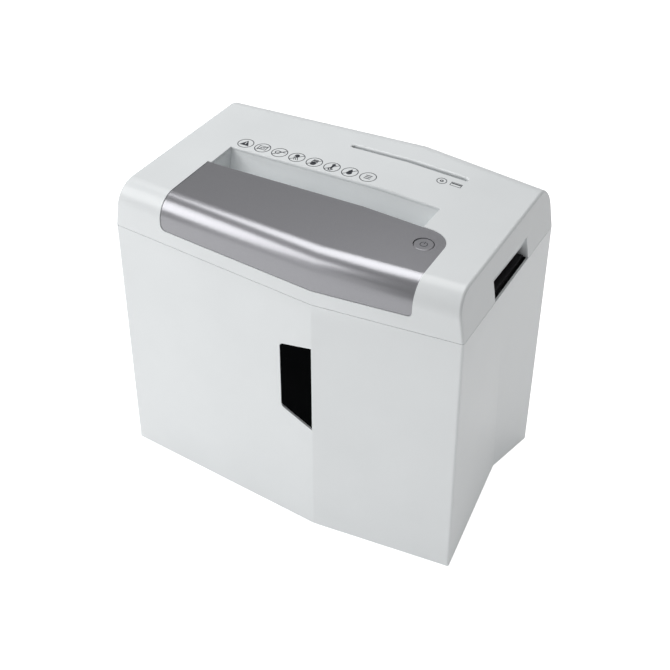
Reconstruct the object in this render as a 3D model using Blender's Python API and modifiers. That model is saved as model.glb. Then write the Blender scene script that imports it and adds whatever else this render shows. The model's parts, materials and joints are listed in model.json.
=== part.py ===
"""Paper shredder with a disc slot: a lift-off head on a waste bin, each piece its own object.

The frame is +Z up, +X to the right and -Y to the front, with the origin on the floor under the
middle of the shredder. Run it with: blender --background --python part.py
"""

import math

import bmesh
import bpy
from mathutils import Matrix, Vector

MM = 0.001

# ---- outer form -------------------------------------------------------------------------------
HALF_WIDTH = 182 * MM
REAR_HALF_WIDTH = 178.3 * MM
CREASE_X = 43 * MM  # vertical fold line of the front, the top and the back
FRONT_CORNER_Y = -99.3 * MM
FRONT_CREASE_Y = -115.5 * MM
REAR_CORNER_Y = 106 * MM
REAR_CREASE_Y = 115.5 * MM
BIN_BOTTOM_Z = 1.5 * MM
BAND_Z = 264.5 * MM  # lower edge of the upright band around the top of the bin
RIM_Z = 277 * MM  # where the head meets the bin
PINCH_TOP_Y = -11 * MM  # the fold in each side of the bin runs from here ...
PINCH_BOTTOM = (165.5 * MM, 48.6 * MM)  # ... to this x and y at the bottom
BOTTOM_FLARE = 2.6 * MM  # how much further out the front corners stand at the bottom
BIN_WALL = 2.2 * MM
FOOT_RADIUS = 9 * MM
HEAD_GAP = 0.5 * MM
HEAD_BASE_Z = RIM_Z + HEAD_GAP
RIDGE_Z = 328 * MM
TOP_FALL_LEFT = 0.0233  # how fast the top drops away from the ridge
TOP_FALL_RIGHT = 0.0371
SIDE_LEAN = 7 / 44  # inward lean of the head's sides
TOP_ROUND_Y = 22.5 * MM  # the top rolls over into the front and the back
TOP_ROUND_Z = 301 * MM
HEAD_WALL = 2.4 * MM
CORNER_RADIUS = 4 * MM
ARC_STEPS = 7
GAP = 0.3 * MM

# ---- openings of the head ---------------------------------------------------------------------
FEED_LEFT_X = -121.5 * MM
FEED_RIGHT_X = 104 * MM
FEED_REAR_Y = 11 * MM
FEED_FRONT_Y = -22.7 * MM
THROAT_BOTTOM_Z = 293 * MM
SLIT_FRONT_Y = -8 * MM
SLIT_REAR_Y = 1.5 * MM
THROAT_WALL = 1.6 * MM
INSERT_LEFT_X = -125.5 * MM
INSERT_RIGHT_REAR_X = 134 * MM
INSERT_RIGHT_FRONT_X = 136.8 * MM
INSERT_BOTTOM_Z = 292 * MM
INSERT_CORNER = 20 * MM
INSERT_SINK = 0.6 * MM
INSERT_GAP = 0.4 * MM
DISC_LEFT_X = -18.5 * MM
DISC_RIGHT_X = 104 * MM
DISC_FRONT_Y = 64.3 * MM
DISC_REAR_Y = 70 * MM
DISC_THROAT_BOTTOM_Z = 284 * MM
BUTTON = (115.3 * MM, -45.3 * MM)
BUTTON_RADIUS = 9.2 * MM
BUTTON_TOP_Z = 324.4 * MM
GRIP_FRONT_Y = -32 * MM
GRIP_REAR_Y = 44 * MM
GRIP_TOP_Z = 298 * MM
GRIP_BACK_X = 160 * MM
GRIP_RIB = 2.4 * MM

# ---- cutting block ----------------------------------------------------------------------------
AXIS_Z = 270 * MM
FRONT_AXIS_Y = -18 * MM
REAR_AXIS_Y = 12 * MM
LEFT_PLATE_X = -125 * MM
RIGHT_PLATE_X = 109 * MM
PLATE_THICK = 2 * MM
CUT_LEFT_X = -120 * MM
DISC_PITCH = 16 * MM
DISC_COUNT = 14
CUTTER_THICK = 5 * MM
CUTTER_RADIUS = 18 * MM
CORE_RADIUS = 11 * MM
SHAFT_RADIUS = 5 * MM
SMALL_FRONT_Y = 58 * MM
SMALL_REAR_Y = 76 * MM
SMALL_LEFT_X = -16 * MM
SMALL_PITCH = 15 * MM
SMALL_COUNT = 8
SMALL_RADIUS = 11 * MM
SMALL_CORE = 6 * MM
SMALL_SHAFT = 3.5 * MM
SMALL_PLATE_X = -23 * MM
MOTOR_YZ = (63 * MM, 276 * MM)
MOTOR_RADIUS = 26 * MM
GEAR_PLATE_X = -155 * MM
ROD_RADIUS = 3.5 * MM
TRAY_FLOOR_Z = 239 * MM
TRAY_WALL = 2 * MM
SCREW_SPOTS = {
    "front_left": (-160 * MM, -65 * MM),
    "front_right": (160 * MM, -65 * MM),
    "rear_left": (-160 * MM, 72 * MM),
    "rear_right": (160 * MM, 72 * MM),
}
BOSS_SPLIT_Z = 284 * MM
INTERLOCK = (-138 * MM, 82 * MM)

TOOTH_SHARE = 0.37  # tooth thickness on the pitch circle, as a share of the pitch
ROUND_STEPS = 16

COLORS = {
    "white_plastic": ((0.82, 0.83, 0.83), 0.38, 0.0),
    "grey_gloss": ((0.30, 0.30, 0.33), 0.2, 0.3),
    "black_plastic": ((0.025, 0.025, 0.028), 0.45, 0.0),
    "smoked_window": ((0.008, 0.008, 0.009), 0.08, 0.0),
    "rubber": ((0.03, 0.03, 0.03), 0.8, 0.0),
    "steel": ((0.62, 0.62, 0.64), 0.35, 1.0),
    "dark_steel": ((0.30, 0.30, 0.32), 0.4, 1.0),
    "bronze": ((0.55, 0.38, 0.2), 0.4, 1.0),
    "nylon": ((0.75, 0.73, 0.66), 0.5, 0.0),
    "board_green": ((0.03, 0.2, 0.08), 0.5, 0.0),
}


# ---- helpers ----------------------------------------------------------------------------------
def clear_scene():
    for obj in list(bpy.data.objects):
        bpy.data.objects.remove(obj, do_unlink=True)
    for name in ("paper_shredder", "cutters"):
        collection = bpy.data.collections.new(name)
        bpy.context.scene.collection.children.link(collection)


def material(name):
    found = bpy.data.materials.get(name)
    if found:
        return found
    color, roughness, metallic = COLORS[name]
    made = bpy.data.materials.new(name)
    made.use_nodes = True
    shader = made.node_tree.nodes["Principled BSDF"]
    shader.inputs["Base Color"].default_value = (*color, 1)
    shader.inputs["Roughness"].default_value = roughness
    shader.inputs["Metallic"].default_value = metallic
    made.diffuse_color = (*color, 1)
    return made


def keep(name, data, finish, location=(0, 0, 0), rotation=(0, 0, 0)):
    """A new object in the shredder's collection, or in the cutters' one when it has no finish."""
    obj = bpy.data.objects.new(name, data)
    obj.location = location
    obj.rotation_euler = rotation
    if finish:
        bpy.data.collections["paper_shredder"].objects.link(obj)
        own = material(finish).copy()
        own.name = name
        data.materials.clear()
        data.materials.append(own)
    else:
        bpy.data.collections["cutters"].objects.link(obj)
        obj.hide_render = True
        obj.display_type = "WIRE"
    return obj


ALONG_X = (math.radians(90), 0, math.radians(90))  # local x, y and z lie on world y, z and x
ALONG_Y = (math.radians(90), 0, math.radians(180))  # local x, y and z lie on world -x, z and y
UPRIGHT = (0, 0, 0)


def box(name, low, high, finish):
    low = Vector(low)
    high = Vector(high)
    mesh = bpy.data.meshes.new(name)
    form = bmesh.new()
    place = Matrix.Translation((low + high) / 2) @ Matrix.Diagonal((*(high - low), 1))
    bmesh.ops.create_cube(form, size=1, matrix=place)
    form.to_mesh(mesh)
    form.free()
    return keep(name, mesh, finish)


def rod(name, radius, start, end, finish, rotation=ALONG_X, centre=(0, 0), steps=ROUND_STEPS):
    """A round bar between two places on its axis; centre gives the axis's two other coordinates."""
    mesh = bpy.data.meshes.new(name)
    form = bmesh.new()
    bmesh.ops.create_cone(
        form, cap_ends=True, segments=steps, radius1=radius, radius2=radius, depth=end - start
    )
    form.to_mesh(mesh)
    form.free()
    mesh.shade_smooth()
    mesh.set_sharp_from_angle(angle=math.radians(40))
    return keep(name, mesh, finish, axis_point(rotation, (start + end) / 2, centre), rotation)


def axis_point(rotation, along, centre):
    if rotation == ALONG_X:
        return (along, centre[0], centre[1])
    if rotation == ALONG_Y:
        return (centre[0], along, centre[1])
    return (centre[0], centre[1], along)


def circle(radius, centre=(0, 0), steps=ROUND_STEPS):
    turn = 2 * math.pi / steps
    return [
        (centre[0] + radius * math.cos(i * turn), centre[1] + radius * math.sin(i * turn))
        for i in range(steps)
    ]


def rounded(corners, radii, steps=4):
    """The outline through these corners, each turned into an arc of its own radius."""
    outline = []
    for i, (corner, radius) in enumerate(zip(corners, radii)):
        here = Vector(corner)
        if radius == 0:
            outline.append(tuple(here))
            continue
        back = (Vector(corners[i - 1]) - here).normalized()
        ahead = (Vector(corners[(i + 1) % len(corners)]) - here).normalized()
        half = back.angle(ahead) / 2
        centre = here + (back + ahead).normalized() * radius / math.sin(half)
        first = (here + back * radius / math.tan(half) - centre).normalized()
        last = (here + ahead * radius / math.tan(half) - centre).normalized()
        for step in range(steps + 1):
            outline.append(tuple(centre + first.slerp(last, step / steps) * radius))
    return outline


def plate(name, outlines, start, end, finish, rotation=UPRIGHT, centre=(0, 0)):
    """A flat piece: the first outline is its edge, and any others are holes through it."""
    curve = bpy.data.curves.new(name, "CURVE")
    curve.dimensions = "2D"
    curve.fill_mode = "BOTH"
    curve.extrude = (end - start) / 2
    for outline in outlines:
        spline = curve.splines.new("POLY")
        spline.points.add(len(outline) - 1)
        for point, (x, y) in zip(spline.points, outline):
            point.co = (x, y, 0, 1)
        spline.use_cyclic_u = True
    return keep(name, curve, finish, axis_point(rotation, (start + end) / 2, centre), rotation)


def as_mesh(obj, finish):
    """The same piece as a mesh with its caps welded on, so that it can be cut and joined."""
    bpy.context.view_layer.update()
    graph = bpy.context.evaluated_depsgraph_get()
    mesh = bpy.data.meshes.new_from_object(obj.evaluated_get(graph))
    form = bmesh.new()
    form.from_mesh(mesh)
    bmesh.ops.remove_doubles(form, verts=form.verts, dist=0.00001)
    form.to_mesh(mesh)
    form.free()
    name = obj.name
    place = obj.matrix_world.copy()
    bpy.data.objects.remove(obj, do_unlink=True)
    made = keep(name, mesh, finish)
    made.matrix_world = place
    return made


def loft(name, rings, finish, closed=False):
    """Skins rings of equally many points, and caps both ends unless the rings form a loop."""
    form = bmesh.new()
    rows = [[form.verts.new(point) for point in ring] for ring in rings]
    pairs = list(zip(rows, rows[1:]))
    if closed:
        pairs.append((rows[-1], rows[0]))
    for lower, upper in pairs:
        for i in range(len(lower)):
            following = (i + 1) % len(lower)
            form.faces.new((lower[i], lower[following], upper[following], upper[i]))
    if not closed:
        form.faces.new(list(reversed(rows[0])))
        form.faces.new(rows[-1])
    bmesh.ops.recalc_face_normals(form, faces=form.faces)
    mesh = bpy.data.meshes.new(name)
    form.to_mesh(mesh)
    form.free()
    return keep(name, mesh, finish)


def turned(name, profile, finish, location, rotation, steps=ROUND_STEPS):
    """A turned piece: profile lists radius and height from its top to its bottom."""
    mesh = bpy.data.meshes.new(name)
    points = [(radius, 0, height) for radius, height in profile]
    mesh.from_pydata(points, [(i, i + 1) for i in range(len(points) - 1)], [])
    obj = keep(name, mesh, finish, location, rotation)
    screw = obj.modifiers.new("Turn", "SCREW")
    screw.axis = "Z"
    screw.steps = steps
    screw.render_steps = steps
    screw.use_merge_vertices = True
    screw.merge_threshold = 0.00001
    return obj


def combine(obj, other, operation):
    change = obj.modifiers.new(other.name, "BOOLEAN")
    change.operation = operation
    change.object = other
    change.solver = "EXACT"


def cut(obj, *tools):
    for tool in tools:
        combine(obj, tool, "DIFFERENCE")


def join(obj, *tools):
    for tool in tools:
        combine(obj, tool, "UNION")


# ---- outer form -------------------------------------------------------------------------------
def between(start, end, share):
    return start + (end - start) * share


def front_y(x):
    side = -HALF_WIDTH if x < CREASE_X else HALF_WIDTH
    return between(FRONT_CREASE_Y, FRONT_CORNER_Y, (x - CREASE_X) / (side - CREASE_X))


def rear_y(x):
    side = -REAR_HALF_WIDTH if x < CREASE_X else REAR_HALF_WIDTH
    return between(REAR_CREASE_Y, REAR_CORNER_Y, (x - CREASE_X) / (side - CREASE_X))


def side_x(y):
    """Half the width at the rim, which narrows a little towards the back."""
    share = (y - FRONT_CORNER_Y) / (REAR_CORNER_Y - FRONT_CORNER_Y)
    return between(HALF_WIDTH, REAR_HALF_WIDTH, share)


def top_z(x):
    fall = TOP_FALL_LEFT if x < CREASE_X else TOP_FALL_RIGHT
    return RIDGE_Z - fall * abs(x - CREASE_X)


def footprint(z, inset=0.0):
    """The bin's outline at one height, moved inwards by inset, from the front left corner on."""
    depth = max(0.0, (BAND_Z - z) / (BAND_Z - BIN_BOTTOM_Z))
    fold_x = between(side_x(PINCH_TOP_Y), PINCH_BOTTOM[0], depth)
    fold_y = between(PINCH_TOP_Y, PINCH_BOTTOM[1], depth)
    right = [
        (HALF_WIDTH + BOTTOM_FLARE * depth, FRONT_CORNER_Y),
        (fold_x, fold_y),
        (REAR_HALF_WIDTH, REAR_CORNER_Y),
    ]
    left = [(-x, y) for x, y in reversed(right)]
    outline = [left[2], (CREASE_X, FRONT_CREASE_Y), *right, (CREASE_X, REAR_CREASE_Y), *left[:2]]
    moved = []
    for i, corner in enumerate(outline):
        here = Vector(corner)
        before = (here - Vector(outline[i - 1])).normalized()
        after = (Vector(outline[(i + 1) % len(outline)]) - here).normalized()
        inward = Vector((-before.y - after.y, before.x + after.x)).normalized()
        stretch = inward.dot(Vector((-before.y, before.x)))
        moved.append((*(here + inward * inset / stretch), z))
    return moved


def head_form(name, inset, base_z, finish):
    """The head as a closed block, its surface moved inwards by inset."""
    reach = HALF_WIDTH + 10 * MM
    rings = []
    for x in (-reach, CREASE_X, reach):
        front = front_y(x) + inset
        top = top_z(x) - inset
        back = rear_y(x) - inset
        ring = [(x, back, base_z), (x, front, base_z)]
        for edge, way in ((front, 1), (back, -1)):
            arc = []
            for step in range(ARC_STEPS + 1):
                angle = math.radians(90) * step / ARC_STEPS
                y = edge + way * (TOP_ROUND_Y - inset) * (1 - math.cos(angle))
                z = TOP_ROUND_Z + (top - TOP_ROUND_Z) * math.sin(angle)
                arc.append((x, y, z))
            ring += arc if way > 0 else reversed(arc)
        rings.append(ring)
    obj = loft(name, rings, finish)
    form = bmesh.new()
    form.from_mesh(obj.data)
    narrowing = (HALF_WIDTH - REAR_HALF_WIDTH) / (REAR_CORNER_Y - FRONT_CORNER_Y)
    for side in (-1, 1):
        cut_through = bmesh.ops.bisect_plane(
            form,
            geom=form.verts[:] + form.edges[:] + form.faces[:],
            plane_co=(side * (HALF_WIDTH - inset), FRONT_CORNER_Y, RIM_Z),
            plane_no=(side, narrowing, SIDE_LEAN),
            clear_outer=True,
        )
        rim = [item for item in cut_through["geom_cut"] if isinstance(item, bmesh.types.BMEdge)]
        bmesh.ops.edgeloop_fill(form, edges=rim)
    bmesh.ops.recalc_face_normals(form, faces=form.faces)
    upright = [
        edge
        for edge in form.edges
        if all(abs(v.co.x) > 165 * MM and v.co.y > 60 * MM for v in edge.verts)
        and abs(edge.verts[0].co.z - edge.verts[1].co.z) > 20 * MM
    ]
    bmesh.ops.bevel(
        form, geom=upright, offset=CORNER_RADIUS - inset, segments=3, profile=0.5, affect="EDGES"
    )
    form.to_mesh(obj.data)
    form.free()
    return obj


# ---- bin --------------------------------------------------------------------------------------
def window_outline(grow):
    """Window on the front left facet, in x and z. Its right edge stays on the fold."""
    left = 7.3 * MM - grow
    right = 42.1 * MM - (0 if grow > 0 else -grow)
    corners = [
        (left, 141.8 * MM - grow),
        (right, 127.8 * MM - grow),
        (right, 227.4 * MM + grow),
        (left, 218.6 * MM + grow),
    ]
    return rounded(corners, [3.5 * MM, 0.6 * MM, 0.6 * MM, 3.5 * MM], steps=3)


def facet_slab(name, outline, outer, inner, finish):
    """A slab that follows the front left facet between two depths behind its surface."""
    rings = [[(x, front_y(x) + depth, z) for x, z in outline] for depth in (outer, inner)]
    return loft(name, rings, finish)


def make_bin():
    inner_floor = BIN_BOTTOM_Z + BIN_WALL
    shell = loft(
        "bin_shell",
        [
            footprint(BIN_BOTTOM_Z),
            footprint(BAND_Z),
            footprint(RIM_Z),
            footprint(RIM_Z, BIN_WALL),
            footprint(BAND_Z, BIN_WALL),
            footprint(inner_floor, BIN_WALL),
        ],
        "white_plastic",
    )
    cut(shell, facet_slab("window_cut", window_outline(0), -5 * MM, 9 * MM, None))
    window = facet_slab("bin_window", window_outline(-GAP), 0.4 * MM, 3 * MM, "smoked_window")
    flange = facet_slab(
        "window_flange", window_outline(3 * MM), BIN_WALL + GAP, BIN_WALL + 1.6 * MM, None
    )
    join(window, flange)
    for side, across in (("left", -1), ("right", 1)):
        for end, y in (("front", -78 * MM), ("rear", 82 * MM)):
            spot = (across * 150 * MM, y)
            cut(shell, rod(f"peg_cut_{end}_{side}", 3.3 * MM, -MM, 9 * MM, None, UPRIGHT, spot, 12))
            turned(
                f"foot_{end}_{side}",
                [
                    (0, 6 * MM),
                    (3 * MM, 6 * MM),
                    (3 * MM, 1.2 * MM),
                    (FOOT_RADIUS, 1.2 * MM),
                    (FOOT_RADIUS, 0),
                    (0, 0),
                ],
                "rubber",
                (*spot, 0),
                UPRIGHT,
                12,
            )
    make_disc_tray()
    make_interlock_tab()


def rectangle(low, high):
    return [(low[0], low[1]), (high[0], low[1]), (high[0], high[1]), (low[0], high[1])]


def make_disc_tray():
    """The small open tray that hangs behind the paper waste and takes the disc strips."""
    top = 234 * MM
    bottom = 118 * MM
    wall = 1.8 * MM
    rings = []
    for z, inset in ((bottom, 4 * MM), (top, 0), (top, wall), (bottom + wall, 4 * MM + wall)):
        low = (-24 * MM + inset, 46 * MM + inset)
        high = (110 * MM - inset, 98 * MM - inset)
        rings.append([(x, y, z) for x, y in rectangle(low, high)])
    loft("disc_waste_tray", rings, "white_plastic")


def make_interlock_tab():
    """An arm on the bin's back wall with a post that pushes the head's safety plunger up."""
    x, y = INTERLOCK
    wall_y = rear_y(x) - BIN_WALL - GAP
    outline = [
        (wall_y, 214 * MM),
        (wall_y, 232 * MM),
        (y + 3 * MM, 232 * MM),
        (y + 3 * MM, 236.5 * MM),
        (y - 3 * MM, 236.5 * MM),
        (y - 3 * MM, 228 * MM),
    ]
    plate("interlock_tab", [outline], x - 5 * MM, x + 5 * MM, "white_plastic", ALONG_X)


# ---- head casing ------------------------------------------------------------------------------
def insert_zone(name, shrink):
    """The space of the grey insert: its outline from above crossed with its outline from the front."""
    rear = FEED_FRONT_Y - shrink
    left = INSERT_LEFT_X + shrink
    from_above = rounded(
        [
            (left, -140 * MM),
            (INSERT_RIGHT_FRONT_X - shrink, -140 * MM),
            (INSERT_RIGHT_REAR_X - shrink, rear),
            (left, rear),
        ],
        [0, 0, INSERT_CORNER, 3 * MM],
        steps=6,
    )
    from_front = rounded(
        [
            (left, INSERT_BOTTOM_Z + shrink),
            (INSERT_RIGHT_FRONT_X - shrink, INSERT_BOTTOM_Z + shrink),
            (INSERT_RIGHT_FRONT_X - shrink, 350 * MM),
            (left, 350 * MM),
        ],
        [3.5 * MM, 3.5 * MM, 0, 0],
        steps=3,
    )
    mirrored = [(-x, z) for x, z in reversed(from_front)]
    zone = as_mesh(plate(name, [from_above], 280 * MM, 340 * MM, None), None)
    front = plate(name + "_front", [mirrored], -145 * MM, MM, None, ALONG_Y)
    combine(zone, as_mesh(front, None), "INTERSECT")
    return zone


def disc_slot_outline():
    end = (DISC_REAR_Y - DISC_FRONT_Y) / 2 - 0.1 * MM
    corners = rectangle((DISC_LEFT_X, DISC_FRONT_Y), (DISC_RIGHT_X, DISC_REAR_Y))
    return rounded(corners, [end] * 4, steps=3)


def make_cover():
    cover = head_form("top_cover", 0, HEAD_BASE_Z, "white_plastic")
    hollow = head_form("cover_hollow", HEAD_WALL, HEAD_BASE_Z - 8 * MM, None)
    cut(cover, hollow)
    for side in (-1, 1):
        name = "left" if side < 0 else "right"
        for end, y in (("front", GRIP_FRONT_Y - GRIP_RIB), ("rear", GRIP_REAR_Y)):
            outer = side_x(y) - SIDE_LEAN * (GRIP_TOP_Z - RIM_Z) - 0.8 * MM
            xs = sorted((side * 164 * MM, side * outer))
            low = (xs[0], y, HEAD_BASE_Z + GAP)
            high = (xs[1], y + GRIP_RIB, GRIP_TOP_Z)
            join(cover, box(f"grip_rib_{end}_{name}", low, high, None))
        xs = sorted((side * 150 * MM, side * 190 * MM))
        low = (xs[0], GRIP_FRONT_Y, HEAD_BASE_Z - 2 * MM)
        high = (xs[1], GRIP_REAR_Y, GRIP_TOP_Z)
        cut(cover, box(f"grip_cut_{name}", low, high, None))
    for spot_name, spot in SCREW_SPOTS.items():
        boss = rod(
            f"cover_boss_{spot_name}", 4 * MM, BOSS_SPLIT_Z + GAP, 322 * MM, None, UPRIGHT, spot, 12
        )
        pilot = rod(f"pilot_{spot_name}", 2.4 * MM, 280 * MM, 300 * MM, None, UPRIGHT, spot, 12)
        join(cover, boss)
        cut(cover, pilot)
    feed = box(
        "feed_cut",
        (FEED_LEFT_X, FEED_FRONT_Y - 0.5 * MM, 300 * MM),
        (FEED_RIGHT_X, FEED_REAR_Y, 340 * MM),
        None,
    )
    disc_slot = as_mesh(plate("disc_slot_cut", [disc_slot_outline()], 300 * MM, 340 * MM, None), None)
    gland_hole = rod("gland_cut", 6.6 * MM, -20 * MM, 20 * MM, None, ALONG_Y, (0, 0), 12)
    place_on_rear(gland_hole)
    cut(cover, feed, insert_zone("insert_cut", 0), disc_slot, gland_hole)


def place_on_rear(obj):
    """Puts a piece that lies along Y on the back of the head, low on the left."""
    x = -118 * MM
    obj.location = (x, rear_y(x), 290 * MM)
    obj.rotation_euler = ALONG_Y


def make_insert():
    insert = head_form("feed_insert", INSERT_SINK, HEAD_BASE_Z, "grey_gloss")
    combine(insert, insert_zone("insert_limits", INSERT_GAP), "INTERSECT")
    under = head_form("insert_under", HEAD_WALL + INSERT_SINK, HEAD_BASE_Z - 8 * MM, None)
    cut(insert, under)
    hole = rod("button_cut", BUTTON_RADIUS + 0.4 * MM, 300 * MM, 340 * MM, None, UPRIGHT, BUTTON, 24)
    cut(insert, hole)


def chute(name, top, bottom, wall, bottom_z, finish):
    """An open chute that hangs under the head's top and follows its ridge.

    Both its top and its bottom are given as low and high corners.
    """
    rings = []
    for grow, order in ((wall, (0, 1)), (0, (1, 0))):
        for level in order:
            low, high = (top, bottom)[level]
            front = low[1] - grow
            rear = high[1] + grow
            xs = (low[0] - grow, CREASE_X, high[0] + grow)
            outline = [(x, front) for x in xs] + [(x, rear) for x in reversed(xs)]
            ring = [(x, y, bottom_z if level else top_z(x) - HEAD_WALL - GAP) for x, y in outline]
            rings.append(ring)
    return loft(name, rings, finish, closed=True)


def make_throats():
    chute(
        "feed_throat",
        ((FEED_LEFT_X, FEED_FRONT_Y + THROAT_WALL), (FEED_RIGHT_X, FEED_REAR_Y)),
        ((FEED_LEFT_X + 1.5 * MM, SLIT_FRONT_Y), (FEED_RIGHT_X - 1.5 * MM, SLIT_REAR_Y)),
        THROAT_WALL,
        THROAT_BOTTOM_Z,
        "white_plastic",
    )
    disc = ((DISC_LEFT_X, DISC_FRONT_Y), (DISC_RIGHT_X, DISC_REAR_Y))
    chute("disc_throat", disc, disc, 1.4 * MM, DISC_THROAT_BOTTOM_Z, "black_plastic")


def make_base_tray():
    tray = loft(
        "base_tray",
        [
            lowered(10 * MM, TRAY_FLOOR_Z),
            lowered(5.5 * MM, 266 * MM),
            lowered(5.5 * MM, RIM_Z),
            lowered(5.5 * MM + TRAY_WALL, RIM_Z),
            lowered(5.5 * MM + TRAY_WALL, 266 * MM),
            lowered(10 * MM + TRAY_WALL, TRAY_FLOOR_Z + TRAY_WALL),
        ],
        "black_plastic",
    )
    for name, spot in SCREW_SPOTS.items():
        floor_in = TRAY_FLOOR_Z + 0.5 * MM
        join(tray, rod(f"tray_boss_{name}", 5.5 * MM, floor_in, BOSS_SPLIT_Z, None, UPRIGHT, spot, 12))
        cut(
            tray,
            rod(f"tray_bore_{name}", 2.4 * MM, 230 * MM, 290 * MM, None, UPRIGHT, spot, 12),
            rod(f"tray_sink_{name}", 4 * MM, 230 * MM, 268 * MM, None, UPRIGHT, spot, 12),
        )
    low_z = TRAY_FLOOR_Z - 2 * MM
    high_z = TRAY_FLOOR_Z + 5 * MM
    cut(
        tray,
        box("chip_cut", (-118 * MM, -34 * MM, low_z), (102 * MM, 28 * MM, high_z), None),
        box("disc_chip_cut", (-18 * MM, 54 * MM, low_z), (104 * MM, 82 * MM, high_z), None),
        rod("plunger_cut", 3.2 * MM, low_z, high_z, None, UPRIGHT, INTERLOCK, 12),
    )


def lowered(inset, z):
    """The rim's outline moved inwards and put at another height."""
    return [(x, y, z) for x, y, _ in footprint(RIM_Z, inset)]


def make_grips():
    """A black channel behind each side opening, where the fingers hold the head."""
    wall = 1.5 * MM
    low = HEAD_BASE_Z + GAP
    outer = 175 * MM
    for name, side in (("left", -1), ("right", 1)):
        outline = [
            (outer, low),
            (outer, low + wall),
            (GRIP_BACK_X + wall, low + wall),
            (GRIP_BACK_X + wall, GRIP_TOP_Z - wall),
            (outer - 2 * MM, GRIP_TOP_Z - wall),
            (outer - 2 * MM, GRIP_TOP_Z - GAP),
            (GRIP_BACK_X, GRIP_TOP_Z - GAP),
            (GRIP_BACK_X, low),
        ]
        mirrored = [(-side * x, z) for x, z in outline]
        plate(
            f"grip_pocket_{name}",
            [mirrored],
            GRIP_FRONT_Y + GAP,
            GRIP_REAR_Y - GAP,
            "black_plastic",
            ALONG_Y,
        )


def make_gland():
    """The cord's strain relief: a collar through the back of the head."""
    gland = turned(
        "cord_gland",
        [
            (3.2 * MM, 4.5 * MM),
            (8.5 * MM, 3.5 * MM),
            (8.5 * MM, 0.6 * MM),
            (6.2 * MM, 0.4 * MM),
            (6.2 * MM, -12 * MM),
            (3.2 * MM, -12 * MM),
            (3.2 * MM, 4.5 * MM),
        ],
        "black_plastic",
        (0, 0, 0),
        ALONG_Y,
    )
    place_on_rear(gland)


def make_screws():
    for name, spot in SCREW_SPOTS.items():
        turned(
            f"case_screw_{name}",
            [
                (0, 297 * MM),
                (2 * MM, 295 * MM),
                (2 * MM, 267.6 * MM),
                (3.6 * MM, 267.6 * MM),
                (3.6 * MM, 265.4 * MM),
                (0, 265.4 * MM),
            ],
            "steel",
            (*spot, 0),
            UPRIGHT,
            10,
        )


# ---- cutting block ----------------------------------------------------------------------------
def meeting_point(first, first_distance, second, second_distance):
    """The upper point at these distances from two axes, in y and z."""
    start = Vector(first)
    way = Vector(second) - start
    span = way.length
    along = (first_distance**2 - second_distance**2 + span**2) / (2 * span)
    height = math.sqrt(max(0.0, first_distance**2 - along**2))
    across = Vector((-way.y, way.x)).normalized()
    if across.y < 0:
        across = -across
    return tuple(start + way.normalized() * along + across * height)


def mesh_phase(first, first_teeth, first_phase, second, second_teeth):
    """The turn that puts a gap of the second gear on a tooth of the first, where they meet."""
    direction = math.atan2(second[1] - first[1], second[0] - first[0])
    lead = (first_phase - direction) * first_teeth / (2 * math.pi)
    return direction + math.pi + (0.5 - lead) * 2 * math.pi / second_teeth


def gear_outline(teeth, module, phase):
    pitch_radius = teeth * module / 2
    tip = pitch_radius + 0.85 * module
    root = pitch_radius - 1.1 * module
    pitch = 2 * math.pi / teeth
    half_tip = TOOTH_SHARE * pitch / 2 * 0.55
    half_root = TOOTH_SHARE * pitch / 2 * 1.5
    outline = []
    for i in range(teeth):
        middle = phase + i * pitch
        for angle, radius in (
            (middle - half_root, root),
            (middle - half_tip, tip),
            (middle + half_tip, tip),
            (middle + half_root, root),
        ):
            outline.append((radius * math.cos(angle), radius * math.sin(angle)))
    return outline


def gear(name, teeth, module, phase, start, end, centre, bore, finish):
    outlines = [gear_outline(teeth, module, phase), circle(bore, steps=12)]
    return plate(name, outlines, start, end, finish, ALONG_X, centre)


def cutter(name, left_x, pitch, count, first_offset, sizes, ends, centre, steps):
    """Cutting discs on a solid core, with a shaft end on each side."""
    disc_radius, core_radius, shaft_radius = sizes
    right_x = left_x + pitch * count
    profile = [(0, ends[1]), (shaft_radius, ends[1]), (shaft_radius, right_x), (core_radius, right_x)]
    for i in reversed(range(count)):
        middle = left_x + pitch * i + first_offset
        high = middle + CUTTER_THICK / 2
        low = middle - CUTTER_THICK / 2
        profile += [(core_radius, high), (disc_radius, high), (disc_radius, low), (core_radius, low)]
    profile += [(core_radius, left_x), (shaft_radius, left_x), (shaft_radius, ends[0]), (0, ends[0])]
    middle_x = (left_x + right_x) / 2
    local = [(radius, x - middle_x) for radius, x in profile]
    turned(name, local, "dark_steel", (middle_x, *centre), ALONG_X, steps)


def comb(name, bar_low, bar_high, tip_y, first_offset):
    """A bar with one finger in each space between the cutting discs."""
    finger = 3 * MM
    outline = []
    right_x = CUT_LEFT_X + DISC_PITCH * DISC_COUNT
    near, far = (bar_low, bar_high) if tip_y > bar_high else (bar_high, bar_low)
    outline += [(right_x - MM, near), (CUT_LEFT_X + MM, near), (CUT_LEFT_X + MM, far)]
    for i in range(DISC_COUNT - 1):
        middle = CUT_LEFT_X + first_offset + DISC_PITCH * (i + 0.5)
        outline += [
            (middle - finger, far),
            (middle - finger, tip_y),
            (middle + finger, tip_y),
            (middle + finger, far),
        ]
    outline.append((right_x - MM, far))
    plate(name, [outline], AXIS_Z - 1.5 * MM, AXIS_Z + 1.5 * MM, "steel")


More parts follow.
